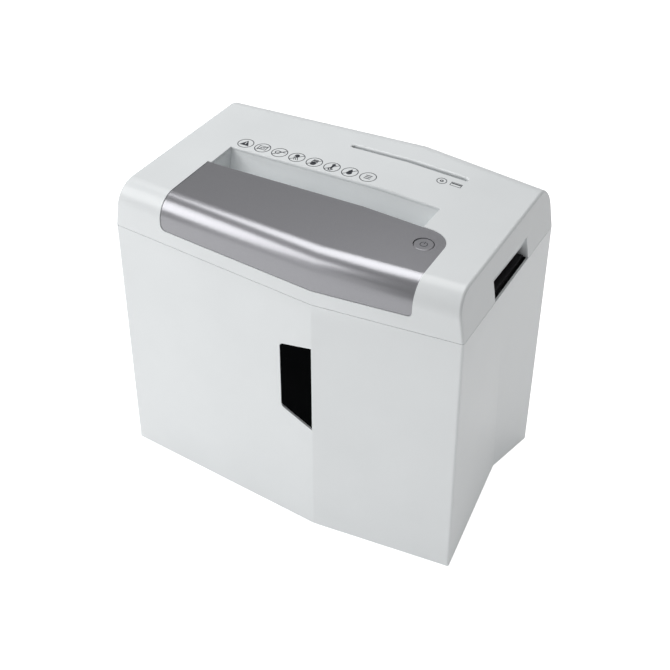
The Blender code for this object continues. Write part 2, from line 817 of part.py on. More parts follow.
def make_cutting_block():
    front = (FRONT_AXIS_Y, AXIS_Z)
    rear = (REAR_AXIS_Y, AXIS_Z)
    small_front = (SMALL_FRONT_Y, AXIS_Z)
    small_rear = (SMALL_REAR_Y, AXIS_Z)
    coarse = 1.5 * MM
    fine = 1 * MM
    pair_teeth = 20
    drive_teeth = 32
    small_drive_teeth = 12
    large_teeth = 44
    pinion_teeth = 12
    takeoff_teeth = 24
    idler_teeth = 26
    small_pair_teeth = 18

    sizes = (CUTTER_RADIUS, CORE_RADIUS, SHAFT_RADIUS)
    quarter = DISC_PITCH / 4
    cutter(
        "cutter_front", CUT_LEFT_X, DISC_PITCH, DISC_COUNT, quarter, sizes,
        (-135.5 * MM, 112.5 * MM), front, 14,
    )
    cutter(
        "cutter_rear", CUT_LEFT_X, DISC_PITCH, DISC_COUNT, 3 * quarter, sizes,
        (-157 * MM, 119 * MM), rear, 14,
    )
    small_sizes = (SMALL_RADIUS, SMALL_CORE, SMALL_SHAFT)
    quarter = SMALL_PITCH / 4
    cutter(
        "disc_cutter_front", SMALL_LEFT_X, SMALL_PITCH, SMALL_COUNT, quarter, small_sizes,
        (-25.5 * MM, 119 * MM), small_front, 12,
    )
    cutter(
        "disc_cutter_rear", SMALL_LEFT_X, SMALL_PITCH, SMALL_COUNT, 3 * quarter, small_sizes,
        (-25.5 * MM, 119 * MM), small_rear, 12,
    )
    core_gap = 0.8 * MM
    comb(
        "stripper_comb_front", -46 * MM, -38 * MM,
        FRONT_AXIS_Y - CORE_RADIUS - core_gap, DISC_PITCH / 4,
    )
    comb(
        "stripper_comb_rear", 31.5 * MM, 36 * MM,
        REAR_AXIS_Y + CORE_RADIUS + core_gap, DISC_PITCH * 3 / 4 - DISC_PITCH,
    )

    compound = meeting_point(
        MOTOR_YZ,
        (pinion_teeth + large_teeth) * fine / 2,
        rear,
        (small_drive_teeth + drive_teeth) * coarse / 2,
    )
    idler = meeting_point(
        rear,
        (takeoff_teeth + idler_teeth) * fine / 2,
        small_front,
        (idler_teeth + small_pair_teeth) * fine / 2,
    )
    bore = SHAFT_RADIUS + GAP
    gear(
        "cutter_gear_rear", pair_teeth, coarse, 0, -134 * MM, -128 * MM, rear, bore, "steel"
    )
    phase = mesh_phase(rear, pair_teeth, 0, front, pair_teeth)
    gear(
        "cutter_gear_front", pair_teeth, coarse, phase, -134 * MM, -128 * MM, front, bore, "steel"
    )
    gear("drive_gear", drive_teeth, coarse, 0, -152 * MM, -146 * MM, rear, bore, "steel")
    phase = mesh_phase(rear, drive_teeth, 0, compound, small_drive_teeth)
    pin_bore = 3.3 * MM
    small_gear = as_mesh(
        gear(
            "compound_small", small_drive_teeth, coarse, phase, -152.5 * MM, -140 * MM,
            compound, pin_bore, None,
        ),
        None,
    )
    large_gear = as_mesh(
        gear(
            "compound_gear", large_teeth, fine, phase, -143 * MM, -138 * MM,
            compound, pin_bore, "nylon",
        ),
        "nylon",
    )
    join(large_gear, small_gear)
    pinion_phase = mesh_phase(compound, large_teeth, phase, MOTOR_YZ, pinion_teeth)
    pinion = as_mesh(
        plate(
            "motor_pinion", [gear_outline(pinion_teeth, fine, pinion_phase)], -143.5 * MM,
            -137 * MM, "steel", ALONG_X, MOTOR_YZ,
        ),
        "steel",
    )
    join(pinion, rod("pinion_shaft", 3 * MM, -140 * MM, -122.2 * MM, None, ALONG_X, MOTOR_YZ, 12))

    gear("takeoff_gear", takeoff_teeth, fine, 0, 112 * MM, 118 * MM, rear, bore, "nylon")
    idler_phase = mesh_phase(rear, takeoff_teeth, 0, idler, idler_teeth)
    idler_gear = as_mesh(
        plate(
            "idler_gear", [gear_outline(idler_teeth, fine, idler_phase)], 112 * MM, 118 * MM,
            "nylon", ALONG_X, idler,
        ),
        "nylon",
    )
    join(idler_gear, rod("idler_stub", 3 * MM, 106.5 * MM, 115 * MM, None, ALONG_X, idler, 12))
    small_bore = SMALL_SHAFT + GAP
    phase = mesh_phase(idler, idler_teeth, idler_phase, small_front, small_pair_teeth)
    gear(
        "disc_gear_front", small_pair_teeth, fine, phase, 112 * MM, 118 * MM, small_front,
        small_bore, "nylon",
    )
    phase = mesh_phase(small_front, small_pair_teeth, phase, small_rear, small_pair_teeth)
    gear(
        "disc_gear_rear", small_pair_teeth, fine, phase, 112 * MM, 118 * MM, small_rear,
        small_bore, "nylon",
    )
    make_frame(front, rear, small_front, small_rear, compound, idler)


def make_frame(front, rear, small_front, small_rear, compound, idler):
    """Side plates, bushes, tie rods and the plate that carries the outer ends of the gear axles."""
    half = PLATE_THICK / 2
    bush_radius = 9 * MM
    low_z = TRAY_FLOOR_Z + TRAY_WALL + GAP
    edge = rounded(
        rectangle((-52 * MM, low_z), (90 * MM, 306 * MM)), [4 * MM] * 4, steps=2
    )
    bush_holes = [circle(bush_radius + GAP, spot) for spot in (front, rear)]
    plate(
        "side_plate_left",
        [edge, *bush_holes, circle(6 * MM, MOTOR_YZ)],
        LEFT_PLATE_X - half,
        LEFT_PLATE_X + half,
        "steel",
        ALONG_X,
    )
    shaft_holes = [circle(SMALL_SHAFT + GAP, spot, 12) for spot in (small_front, small_rear)]
    plate(
        "side_plate_right",
        [edge, *bush_holes, *shaft_holes, circle(3.3 * MM, idler, 12)],
        RIGHT_PLATE_X - half,
        RIGHT_PLATE_X + half,
        "steel",
        ALONG_X,
    )
    small_edge = rounded(
        rectangle((47 * MM, 252 * MM), (88 * MM, 296 * MM)), [4 * MM] * 4, steps=2
    )
    plate(
        "disc_plate_left",
        [small_edge, *shaft_holes],
        SMALL_PLATE_X - half,
        SMALL_PLATE_X + half,
        "steel",
        ALONG_X,
    )
    gear_edge = rounded(
        rectangle((-26 * MM, low_z), (68 * MM, 308 * MM)), [6 * MM] * 4, steps=2
    )
    plate(
        "gear_plate",
        [gear_edge, circle(SHAFT_RADIUS + GAP, rear), circle(3.3 * MM, compound, 12)],
        GEAR_PLATE_X - half,
        GEAR_PLATE_X + half,
        "steel",
        ALONG_X,
    )
    post_start = GEAR_PLATE_X + half + GAP
    post_end = LEFT_PLATE_X - half - GAP
    for name, spot in (("front", (-20 * MM, 249 * MM)), ("rear", (62 * MM, 249 * MM))):
        rod(f"gear_post_{name}", ROD_RADIUS, post_start, post_end, "steel", ALONG_X, spot, 10)
    rod("compound_axle", 3 * MM, GEAR_PLATE_X - half, post_end, "steel", ALONG_X, compound, 12)
    rod_start = LEFT_PLATE_X + half + GAP
    rod_end = RIGHT_PLATE_X - half - GAP
    spots = {
        "front_low": (-45 * MM, 252 * MM),
        "front_high": (-45 * MM, 292 * MM),
        "rear_high": (33.5 * MM, 298 * MM),
    }
    for name, spot in spots.items():
        rod(f"tie_rod_{name}", ROD_RADIUS, rod_start, rod_end, "steel", ALONG_X, spot, 10)
    bush_half = 2 * MM
    for side, x in (("left", LEFT_PLATE_X), ("right", RIGHT_PLATE_X)):
        for end, spot in (("front", front), ("rear", rear)):
            plate(
                f"bush_{end}_{side}",
                [circle(bush_radius), circle(SHAFT_RADIUS + GAP)],
                x - bush_half,
                x + bush_half,
                "bronze",
                ALONG_X,
                spot,
            )


# ---- drive and controls -----------------------------------------------------------------------
def make_motor():
    y, z = MOTOR_YZ
    length = 74 * MM
    neck = MOTOR_RADIUS - 4 * MM
    turned(
        "motor_body",
        [
            (0, length / 2),
            (8 * MM, length / 2),
            (8 * MM, length / 2 - 4 * MM),
            (neck, length / 2 - 4 * MM),
            (MOTOR_RADIUS, length / 2 - 8 * MM),
            (MOTOR_RADIUS, -length / 2 + 3 * MM),
            (neck, -length / 2),
            (0, -length / 2),
        ],
        "dark_steel",
        (-75 * MM, y, z),
        ALONG_X,
        20,
    )
    half = 25 * MM
    edge = rounded(
        rectangle((y - half, z - half), (y + half, z + half)), [6 * MM] * 4, steps=2
    )
    plate("motor_gearbox", [edge], -121.8 * MM, -112.4 * MM, "black_plastic", ALONG_X)


def coil(name, radius, wire, start, end, turns, spot, finish):
    steps_per_turn = 8
    count = turns * steps_per_turn + 1
    curve = bpy.data.curves.new(name, "CURVE")
    curve.dimensions = "3D"
    curve.bevel_depth = wire / 2
    curve.bevel_resolution = 1
    curve.use_fill_caps = True
    spline = curve.splines.new("POLY")
    spline.points.add(count - 1)
    low = start + wire / 2
    high = end - wire / 2
    for i, point in enumerate(spline.points):
        angle = 2 * math.pi * i / steps_per_turn
        height = between(low, high, i / (count - 1))
        point.co = (radius * math.cos(angle), radius * math.sin(angle), height, 1)
    return keep(name, curve, finish, (*spot, 0))


def make_controls():
    x, y = BUTTON
    board_z = 296 * MM
    board_top = board_z + 1.6 * MM
    switch_half = 3.4 * MM
    switch_top = 309 * MM
    flange_z = 320 * MM
    flange_low = 318.5 * MM
    box("control_board", (110.9 * MM, -84 * MM, board_z), (151 * MM, -12 * MM, board_top), "board_green")
    box(
        "board_relay",
        (126 * MM, -78 * MM, board_top + GAP),
        (145 * MM, -62 * MM, board_top + 12 * MM),
        "black_plastic",
    )
    box(
        "button_switch",
        (x - switch_half, y - switch_half, board_top + GAP),
        (x + switch_half, y + switch_half, switch_top),
        "black_plastic",
    )
    turned(
        "power_button",
        [
            (0, BUTTON_TOP_Z),
            (BUTTON_RADIUS - 0.6 * MM, BUTTON_TOP_Z),
            (BUTTON_RADIUS, BUTTON_TOP_Z - 0.5 * MM),
            (BUTTON_RADIUS, flange_z),
            (10.6 * MM, flange_z),
            (10.6 * MM, flange_low),
            (1.8 * MM, flange_low),
            (1.8 * MM, switch_top + 1.8 * MM),
            (0, switch_top + 1.8 * MM),
        ],
        "grey_gloss",
        (x, y, 0),
        UPRIGHT,
        24,
    )
    coil("button_spring", 2.8 * MM, 0.7 * MM, switch_top + GAP, flange_low - GAP, 4, BUTTON, "steel")

    x, y = INTERLOCK
    switch_z = 260 * MM
    box(
        "interlock_switch",
        (x - 6 * MM, y - 5 * MM, switch_z),
        (x + 6 * MM, y + 5 * MM, switch_z + 16 * MM),
        "black_plastic",
    )
    collar_low = 249 * MM
    collar_high = 251 * MM
    turned(
        "interlock_plunger",
        [
            (0, switch_z - 1.2 * MM),
            (1.6 * MM, switch_z - 1.2 * MM),
            (1.6 * MM, collar_high),
            (4.5 * MM, collar_high),
            (4.5 * MM, collar_low),
            (2.6 * MM, collar_low),
            (2.6 * MM, 238 * MM),
            (1.6 * MM, 236.9 * MM),
            (0, 236.9 * MM),
        ],
        "nylon",
        (x, y, 0),
        UPRIGHT,
        12,
    )
    coil(
        "interlock_spring", 3 * MM, 0.7 * MM, collar_high + GAP, switch_z - GAP, 3, INTERLOCK, "steel"
    )
    box("paper_sensor", (-12 * MM, -33 * MM, 291 * MM), (-4 * MM, -24.7 * MM, 302 * MM), "black_plastic")


def main():
    clear_scene()
    make_bin()
    make_cover()
    make_insert()
    make_throats()
    make_base_tray()
    make_grips()
    make_gland()
    make_screws()
    make_cutting_block()
    make_motor()
    make_controls()


main()
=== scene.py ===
"""Looks of a paper shredder with a disc slot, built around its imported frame."""

import json
import math

import bmesh
import bpy
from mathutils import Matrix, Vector


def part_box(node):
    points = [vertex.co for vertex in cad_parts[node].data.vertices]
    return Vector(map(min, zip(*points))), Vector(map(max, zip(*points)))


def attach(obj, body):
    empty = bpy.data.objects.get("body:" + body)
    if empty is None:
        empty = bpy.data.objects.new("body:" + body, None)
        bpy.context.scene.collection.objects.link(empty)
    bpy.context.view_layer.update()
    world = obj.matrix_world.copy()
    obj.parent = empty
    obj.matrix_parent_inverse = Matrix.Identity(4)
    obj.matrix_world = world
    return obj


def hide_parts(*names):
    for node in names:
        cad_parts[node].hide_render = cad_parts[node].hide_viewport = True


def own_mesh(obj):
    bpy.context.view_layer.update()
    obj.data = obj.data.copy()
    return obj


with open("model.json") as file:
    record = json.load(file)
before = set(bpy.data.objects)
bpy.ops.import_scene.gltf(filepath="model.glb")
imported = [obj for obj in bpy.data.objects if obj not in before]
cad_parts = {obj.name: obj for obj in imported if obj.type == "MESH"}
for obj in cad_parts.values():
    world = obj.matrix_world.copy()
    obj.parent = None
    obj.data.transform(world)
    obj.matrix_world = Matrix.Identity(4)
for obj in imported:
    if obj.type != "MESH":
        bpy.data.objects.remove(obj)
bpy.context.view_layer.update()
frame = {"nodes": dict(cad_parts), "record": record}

MM = 0.001

# ---- camera and studio ------------------------------------------------------------------------
CAMERA_PLACE = (0.4966, -0.8660, 0.9486)
CAMERA_AZIMUTH = 29.83
CAMERA_ELEVATION = 36.99
CAMERA_ROLL = -0.07
CAMERA_LENS = 68.13
CAMERA_SHIFT = -0.0597
SENSOR_WIDTH = 36

# ---- the shredder's own lines, from the frame ------------------------------------------------
BIN_LOW, BIN_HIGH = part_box("bin_shell")
HEAD_LOW, HEAD_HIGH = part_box("top_cover")
INSERT_LOW, INSERT_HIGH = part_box("feed_insert")
WINDOW_LOW, WINDOW_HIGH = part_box("bin_window")
THROAT_LOW, THROAT_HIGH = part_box("feed_throat")
DISC_LOW, DISC_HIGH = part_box("disc_throat")
GRIP_LOW, GRIP_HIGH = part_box("grip_pocket_right")
BUTTON_LOW, BUTTON_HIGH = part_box("power_button")


def cad_corner(node, rank):
    """The point of a CAD node that comes last when its points are ranked."""
    return max((v.co for v in frame["nodes"][node].data.vertices), key=rank).copy()


FOLD_X = cad_corner("bin_shell", lambda p: -p.y).x
FRONT_CORNER = cad_corner("bin_shell", lambda p: p.x - p.y)
REAR_CORNER = cad_corner("bin_shell", lambda p: p.x + 4 * p.y if p.x > 0.17 else -1)
PINCH_FOOT = cad_corner(
    "bin_shell", lambda p: p.y - p.x - 4 * p.z if p.x > 0.16 and p.y < 0.08 else -9
)
RIM_CORNER = cad_corner("bin_shell", lambda p: p.x - p.y + 4 * p.z)
HALF_WIDTH = RIM_CORNER.x
FRONT_CORNER_Y = RIM_CORNER.y
RIDGE_Z = HEAD_HIGH.z
TOP_LEFT_Z = RIDGE_Z - 5.1 * MM
TOP_RIGHT_Z = RIDGE_Z - 4.9 * MM
HEAD_LEAN = 7.3 * MM
TOP_ROUND = 22.5 * MM  # the top rolls over into the front and the back
EDGE_ROUND = 2.4 * MM
HEAD_WALL = 2.4 * MM
BIN_WALL = 2.2 * MM
THROAT_WALL = 1.6 * MM
CHUTE_WALL = 1.4 * MM
POCKET_WALL = 1.5 * MM
GAP = 0.3 * MM  # room between two plastic pieces that touch in the real object
BAND_Z = BIN_HIGH.z - 12.5 * MM
INSERT_GAP = 0.4 * MM
INSERT_SINK = 0.6 * MM  # how far the insert lies below the cover
FEED_EDGE_ROUND = 1.9 * MM
DISC_EDGE_ROUND = 1.8 * MM
CUT_LOW_Z = 300 * MM  # tools that open the head's top reach from here ...
CUT_HIGH_Z = 340 * MM  # ... to here
PINCH_TOP_Y = -11 * MM
PINCH_TOP_X = HALF_WIDTH + (REAR_CORNER.x - HALF_WIDTH) * (PINCH_TOP_Y - FRONT_CORNER_Y) / (
    REAR_CORNER.y - FRONT_CORNER_Y
)
GRIP_TOP = GRIP_HIGH.z + GAP
RIB_THICK = 2.4 * MM
BROW_Z = GRIP_HIGH.z - 9.2 * MM  # lower edge of the scooped brow over each grip
FEED_REAR_Y = THROAT_HIGH.y - THROAT_WALL
DISC_LEFT_X = DISC_LOW.x + CHUTE_WALL
DISC_RIGHT_X = DISC_HIGH.x - CHUTE_WALL
DISC_FRONT_Y = DISC_LOW.y + CHUTE_WALL
DISC_REAR_Y = DISC_HIGH.y - CHUTE_WALL
BUTTON_RADIUS = 9.2 * MM
BUTTON_SPOT = ((BUTTON_LOW.x + BUTTON_HIGH.x) / 2, (BUTTON_LOW.y + BUTTON_HIGH.y) / 2)
LEFT_SLOPE = (RIDGE_Z - TOP_LEFT_Z) / (FOLD_X + HALF_WIDTH - HEAD_LEAN)
RIGHT_SLOPE = (RIDGE_Z - TOP_RIGHT_Z) / (HALF_WIDTH - HEAD_LEAN - FOLD_X)


def top_height(x):
    """Height of the head's top surface, which falls away from its ridge on both sides."""
    if x < FOLD_X:
        return RIDGE_Z - LEFT_SLOPE * (FOLD_X - x)
    return RIDGE_Z - RIGHT_SLOPE * (x - FOLD_X)


# ---- modelling by hand ------------------------------------------------------------------------
def only(obj):
    """Makes this piece the only one selected."""
    bpy.ops.object.select_all(action="DESELECT")
    bpy.context.view_layer.objects.active = obj
    obj.select_set(True)


def open_piece(obj):
    only(obj)
    bpy.ops.object.mode_set(mode="EDIT")


def close_piece():
    bpy.ops.object.mode_set(mode="OBJECT")


def pick(kind, wanted):
    """Selects the points, edges or faces of the open piece that are wanted, and nothing else."""
    bpy.ops.mesh.select_mode(type=kind)
    bpy.ops.mesh.select_all(action="DESELECT")
    mesh = bpy.context.edit_object.data
    form = bmesh.from_edit_mesh(mesh)
    items = {"VERT": form.verts, "EDGE": form.edges, "FACE": form.faces}[kind]
    for item in items:
        if wanted(item):
            item.select_set(True)
    form.select_flush_mode()
    bmesh.update_edit_mesh(mesh)


def shift_points(wanted, way):
    pick("VERT", wanted)
    bpy.ops.transform.translate(value=way)


def settle(name):
    """Names the new piece and puts its place into its mesh."""
    obj = bpy.context.active_object
    obj.name = name
    obj.data.name = name
    only(obj)
    bpy.ops.object.transform_apply(location=True, rotation=True, scale=True)
    return obj


def block(name, low, high):
    bpy.ops.object.select_all(action="DESELECT")
    low = Vector(low)
    high = Vector(high)
    bpy.ops.mesh.primitive_cube_add(size=1, location=(low + high) / 2)
    bpy.context.active_object.scale = high - low
    return settle(name)


def side_block(name, side, near, far, ys, zs):
    """A block on the left (-1) or right (1) side, between two distances from the middle."""
    xs = sorted((side * near, side * far))
    return block(name, (xs[0], ys[0], zs[0]), (xs[1], ys[1], zs[1]))


def drum(name, radius, start, end, centre=(0, 0), steps=48):
    """An upright cylinder between two heights."""
    bpy.ops.object.select_all(action="DESELECT")
    bpy.ops.mesh.primitive_cylinder_add(
        vertices=steps, radius=radius, depth=end - start, location=(*centre, (start + end) / 2)
    )
    return settle(name)


def apply_all(obj):
    only(obj)
    for modifier in list(obj.modifiers):
        bpy.ops.object.modifier_apply(modifier=modifier.name)


def shape_with(obj, tool, operation="DIFFERENCE"):
    """Cuts, joins or trims a piece with a tool, and takes the tool away."""
    change = obj.modifiers.new("Shape", "BOOLEAN")
    change.operation = operation
    change.solver = "EXACT"
    change.object = tool
    apply_all(obj)
    bpy.data.objects.remove(tool, do_unlink=True)


def thicken(obj, thickness, offset=-1):
    """Gives an open skin its wall, inwards (-1) or outwards (1)."""
    wall = obj.modifiers.new("Wall", "SOLIDIFY")
    wall.thickness = thickness
    wall.offset = offset
    wall.use_even_offset = True
    apply_all(obj)


def round_edges(obj, width, angle=40, segments=3):
    """Breaks every edge sharper than the angle."""
    bevel = obj.modifiers.new("Round", "BEVEL")
    bevel.width = width
    bevel.segments = segments
    bevel.limit_method = "ANGLE"
    bevel.angle_limit = math.radians(angle)
    bevel.use_clamp_overlap = True
    apply_all(obj)


def smooth(obj, angle=30):
    """Shades a piece smooth up to an angle, and keeps its flat faces flat."""
    only(obj)
    bpy.ops.object.shade_smooth_by_angle(angle=math.radians(angle))
    weighted = obj.modifiers.new("Weighted", "WEIGHTED_NORMAL")
    weighted.keep_sharp = True
    weighted.weight = 100
    apply_all(obj)


def show(obj, finish, body, slot, *nodes):
    """Gives a finished piece its material and its body, and hides the CAD nodes it stands for."""
    obj.data.materials.clear()
    obj.data.materials.append(finish)
    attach(obj, body)
    if nodes:
        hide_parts(*nodes)
    return obj


# ---- effects shared by the materials ---------------------------------------------------------
def new_group(name, inputs, outputs):
    group = bpy.data.node_groups.new(name, "ShaderNodeTree")
    for label, value in inputs.items():
        socket = group.interface.new_socket(label, in_out="INPUT", socket_type="NodeSocketFloat")
        socket.default_value = value
    for label, kind in outputs.items():
        group.interface.new_socket(label, in_out="OUTPUT", socket_type=kind)
    return group, group.nodes, group.links


def make_moulded_grain():
    """Fine spark texture of a mould with a slow waviness, for height, tone and gloss."""
    group, nodes, links = new_group(
        "moulded_grain",
        {"Grain Scale": 1500.0, "Wave Scale": 14.0},
        {"Height": "NodeSocketFloat", "Mask": "NodeSocketFloat"},
    )
    source = nodes.new("NodeGroupInput")
    out = nodes.new("NodeGroupOutput")
    place = nodes.new("ShaderNodeTexCoord")
    grain = nodes.new("ShaderNodeTexNoise")
    grain.inputs["Detail"].default_value = 2.0
    wave = nodes.new("ShaderNodeTexNoise")
    wave.inputs["Detail"].default_value = 3.0
    cells = nodes.new("ShaderNodeTexVoronoi")
    mix = nodes.new("ShaderNodeMath")
    mix.operation = "MULTIPLY_ADD"
    mix.inputs[1].default_value = 0.5
    links.new(place.outputs["Object"], grain.inputs["Vector"])
    links.new(place.outputs["Object"], wave.inputs["Vector"])
    links.new(place.outputs["Object"], cells.inputs["Vector"])
    links.new(source.outputs["Grain Scale"], grain.inputs["Scale"])
    links.new(source.outputs["Grain Scale"], cells.inputs["Scale"])
    links.new(source.outputs["Wave Scale"], wave.inputs["Scale"])
    links.new(cells.outputs["Distance"], mix.inputs[0])
    links.new(grain.outputs["Fac"], mix.inputs[2])
    links.new(mix.outputs[0], out.inputs["Height"])
    links.new(wave.outputs["Fac"], out.inputs["Mask"])
    return group


def make_brushing():
    """Fine parallel lines along X, as on rolled or brushed steel, and a stain mask."""
    group, nodes, links = new_group(
        "brushing",
        {"Line Scale": 900.0, "Stain Scale": 60.0},
        {"Height": "NodeSocketFloat", "Mask": "NodeSocketFloat"},
    )
    source = nodes.new("NodeGroupInput")
    out = nodes.new("NodeGroupOutput")
    place = nodes.new("ShaderNodeTexCoord")
    stretch = nodes.new("ShaderNodeMapping")
    stretch.inputs["Scale"].default_value = (0.04, 1.0, 1.0)
    lines = nodes.new("ShaderNodeTexNoise")
    lines.inputs["Detail"].default_value = 3.0
    stain = nodes.new("ShaderNodeTexNoise")
    stain.inputs["Detail"].default_value = 5.0
    links.new(place.outputs["Object"], stretch.inputs["Vector"])
    links.new(stretch.outputs["Vector"], lines.inputs["Vector"])
    links.new(place.outputs["Object"], stain.inputs["Vector"])
    links.new(source.outputs["Line Scale"], lines.inputs["Scale"])
    links.new(source.outputs["Stain Scale"], stain.inputs["Scale"])
    links.new(lines.outputs["Fac"], out.inputs["Height"])
    links.new(stain.outputs["Fac"], out.inputs["Mask"])
    return group


def make_paint_flake():
    """Tiny metallic flakes under a lacquer: a sparkle mask and a soft height."""
    group, nodes, links = new_group(
        "paint_flake",
        {"Flake Scale": 2600.0, "Cloud Scale": 25.0},
        {"Sparkle": "NodeSocketFloat", "Cloud": "NodeSocketFloat"},
    )
    source = nodes.new("NodeGroupInput")
    out = nodes.new("NodeGroupOutput")
    place = nodes.new("ShaderNodeTexCoord")
    flakes = nodes.new("ShaderNodeTexVoronoi")
    gray = nodes.new("ShaderNodeRGBToBW")
    cloud = nodes.new("ShaderNodeTexNoise")
    cloud.inputs["Detail"].default_value = 2.0
    links.new(place.outputs["Object"], flakes.inputs["Vector"])
    links.new(place.outputs["Object"], cloud.inputs["Vector"])
    links.new(source.outputs["Flake Scale"], flakes.inputs["Scale"])
    links.new(source.outputs["Cloud Scale"], cloud.inputs["Scale"])
    links.new(flakes.outputs["Color"], gray.inputs["Color"])
    links.new(gray.outputs["Val"], out.inputs["Sparkle"])
    links.new(cloud.outputs["Fac"], out.inputs["Cloud"])
    return group


# ---- materials --------------------------------------------------------------------------------
def finish_of(
    name, effect, mask, height, tones, roughness, bump, metallic=0.0, settings=None, **scales
):
    """A Principled material whose tone, gloss and bump follow one effect."""
    made = bpy.data.materials.new(name)
    made.use_nodes = True
    nodes = made.node_tree.nodes
    links = made.node_tree.links
    shader = nodes["Principled BSDF"]
    shader.inputs["Metallic"].default_value = metallic
    for label, value in (settings or {}).items():
        shader.inputs[label].default_value = value
    group = nodes.new("ShaderNodeGroup")
    group.node_tree = effect
    for label, value in scales.items():
        group.inputs[label.replace("_", " ").title()].default_value = value
    ramp = nodes.new("ShaderNodeValToRGB")
    ramp.color_ramp.elements[0].position = 0.3
    ramp.color_ramp.elements[1].position = 0.7
    ramp.color_ramp.elements[0].color = (*tones[0], 1)
    ramp.color_ramp.elements[1].color = (*tones[1], 1)
    gloss = nodes.new("ShaderNodeMapRange")
    gloss.inputs["From Min"].default_value = 0.3
    gloss.inputs["From Max"].default_value = 0.7
    gloss.inputs["To Min"].default_value = roughness[0]
    gloss.inputs["To Max"].default_value = roughness[1]
    links.new(group.outputs[mask], ramp.inputs["Fac"])
    links.new(group.outputs[mask], gloss.inputs["Value"])
    links.new(ramp.outputs["Color"], shader.inputs["Base Color"])
    links.new(gloss.outputs["Result"], shader.inputs["Roughness"])
    if bump:
        relief = nodes.new("ShaderNodeBump")
        relief.inputs["Strength"].default_value = bump[0]
        relief.inputs["Distance"].default_value = bump[1]
        links.new(group.outputs[height], relief.inputs["Height"])
        links.new(relief.outputs["Normal"], shader.inputs["Normal"])
    return made


def make_materials():
    grain = make_moulded_grain()
    brushing = make_brushing()
    flake = make_paint_flake()
    moulded = (grain, "Mask", "Height")
    brushed = (brushing, "Mask", "Height")
    return {
        "white_plastic": finish_of(
            "white_plastic", *moulded, ((0.79, 0.815, 0.825), (0.815, 0.84, 0.85)), (0.33, 0.39),
            (0.12, 0.00006), settings={"Coat Weight": 0.15, "Coat Roughness": 0.25},
        ),
        "grey_gloss": finish_of(
            "grey_gloss", flake, "Sparkle", "Cloud", ((0.30, 0.30, 0.32), (0.34, 0.34, 0.36)),
            (0.3, 0.34), None, metallic=0.75, flake_scale=5200.0,
            settings={"Coat Weight": 0.5, "Coat Roughness": 0.1},
        ),
        "smoked_window": finish_of(
            "smoked_window", *moulded, ((0.0012, 0.0014, 0.0016), (0.002, 0.0022, 0.0024)),
            (0.1, 0.16), (0.02, 0.00003), wave_scale=30.0, settings={"Specular IOR Level": 0.04, "IOR": 1.12},
        ),
        "black_plastic": finish_of(
            "black_plastic", *moulded, ((0.018, 0.018, 0.02), (0.032, 0.032, 0.034)), (0.42, 0.55),
            (0.35, 0.0001), grain_scale=1100.0,
        ),
        "rubber": finish_of(
            "rubber", *moulded, ((0.02, 0.02, 0.02), (0.04, 0.04, 0.038)), (0.75, 0.9),
            (0.5, 0.0002), grain_scale=700.0, wave_scale=80.0,
        ),
        "steel": finish_of(
            "steel", *brushed, ((0.52, 0.52, 0.54), (0.68, 0.68, 0.69)), (0.28, 0.42),
            (0.15, 0.0001), metallic=1.0,
        ),
        "dark_steel": finish_of(
            "dark_steel", *brushed, ((0.20, 0.20, 0.21), (0.36, 0.36, 0.37)), (0.3, 0.5),
            (0.2, 0.0001), metallic=1.0, line_scale=600.0, stain_scale=110.0,
        ),
        "bronze": finish_of(
            "bronze", *brushed, ((0.42, 0.27, 0.13), (0.58, 0.40, 0.21)), (0.35, 0.5),
            (0.2, 0.0001), metallic=1.0, stain_scale=160.0,
        ),
        "nylon": finish_of(
            "nylon", *moulded, ((0.66, 0.64, 0.56), (0.78, 0.76, 0.69)), (0.42, 0.55),
            (0.2, 0.0001), wave_scale=90.0,
            settings={"Subsurface Weight": 0.1, "Subsurface Scale": 0.002},
        ),
        "board_green": finish_of(
            "board_green", *moulded, ((0.012, 0.12, 0.045), (0.03, 0.19, 0.08)), (0.3, 0.45),
            (0.2, 0.0001), wave_scale=220.0,
        ),
        "sign_ink": finish_of(
            "sign_ink", *moulded, ((0.016, 0.02, 0.028), (0.026, 0.03, 0.04)), (0.45, 0.6), None,
        ),
    }


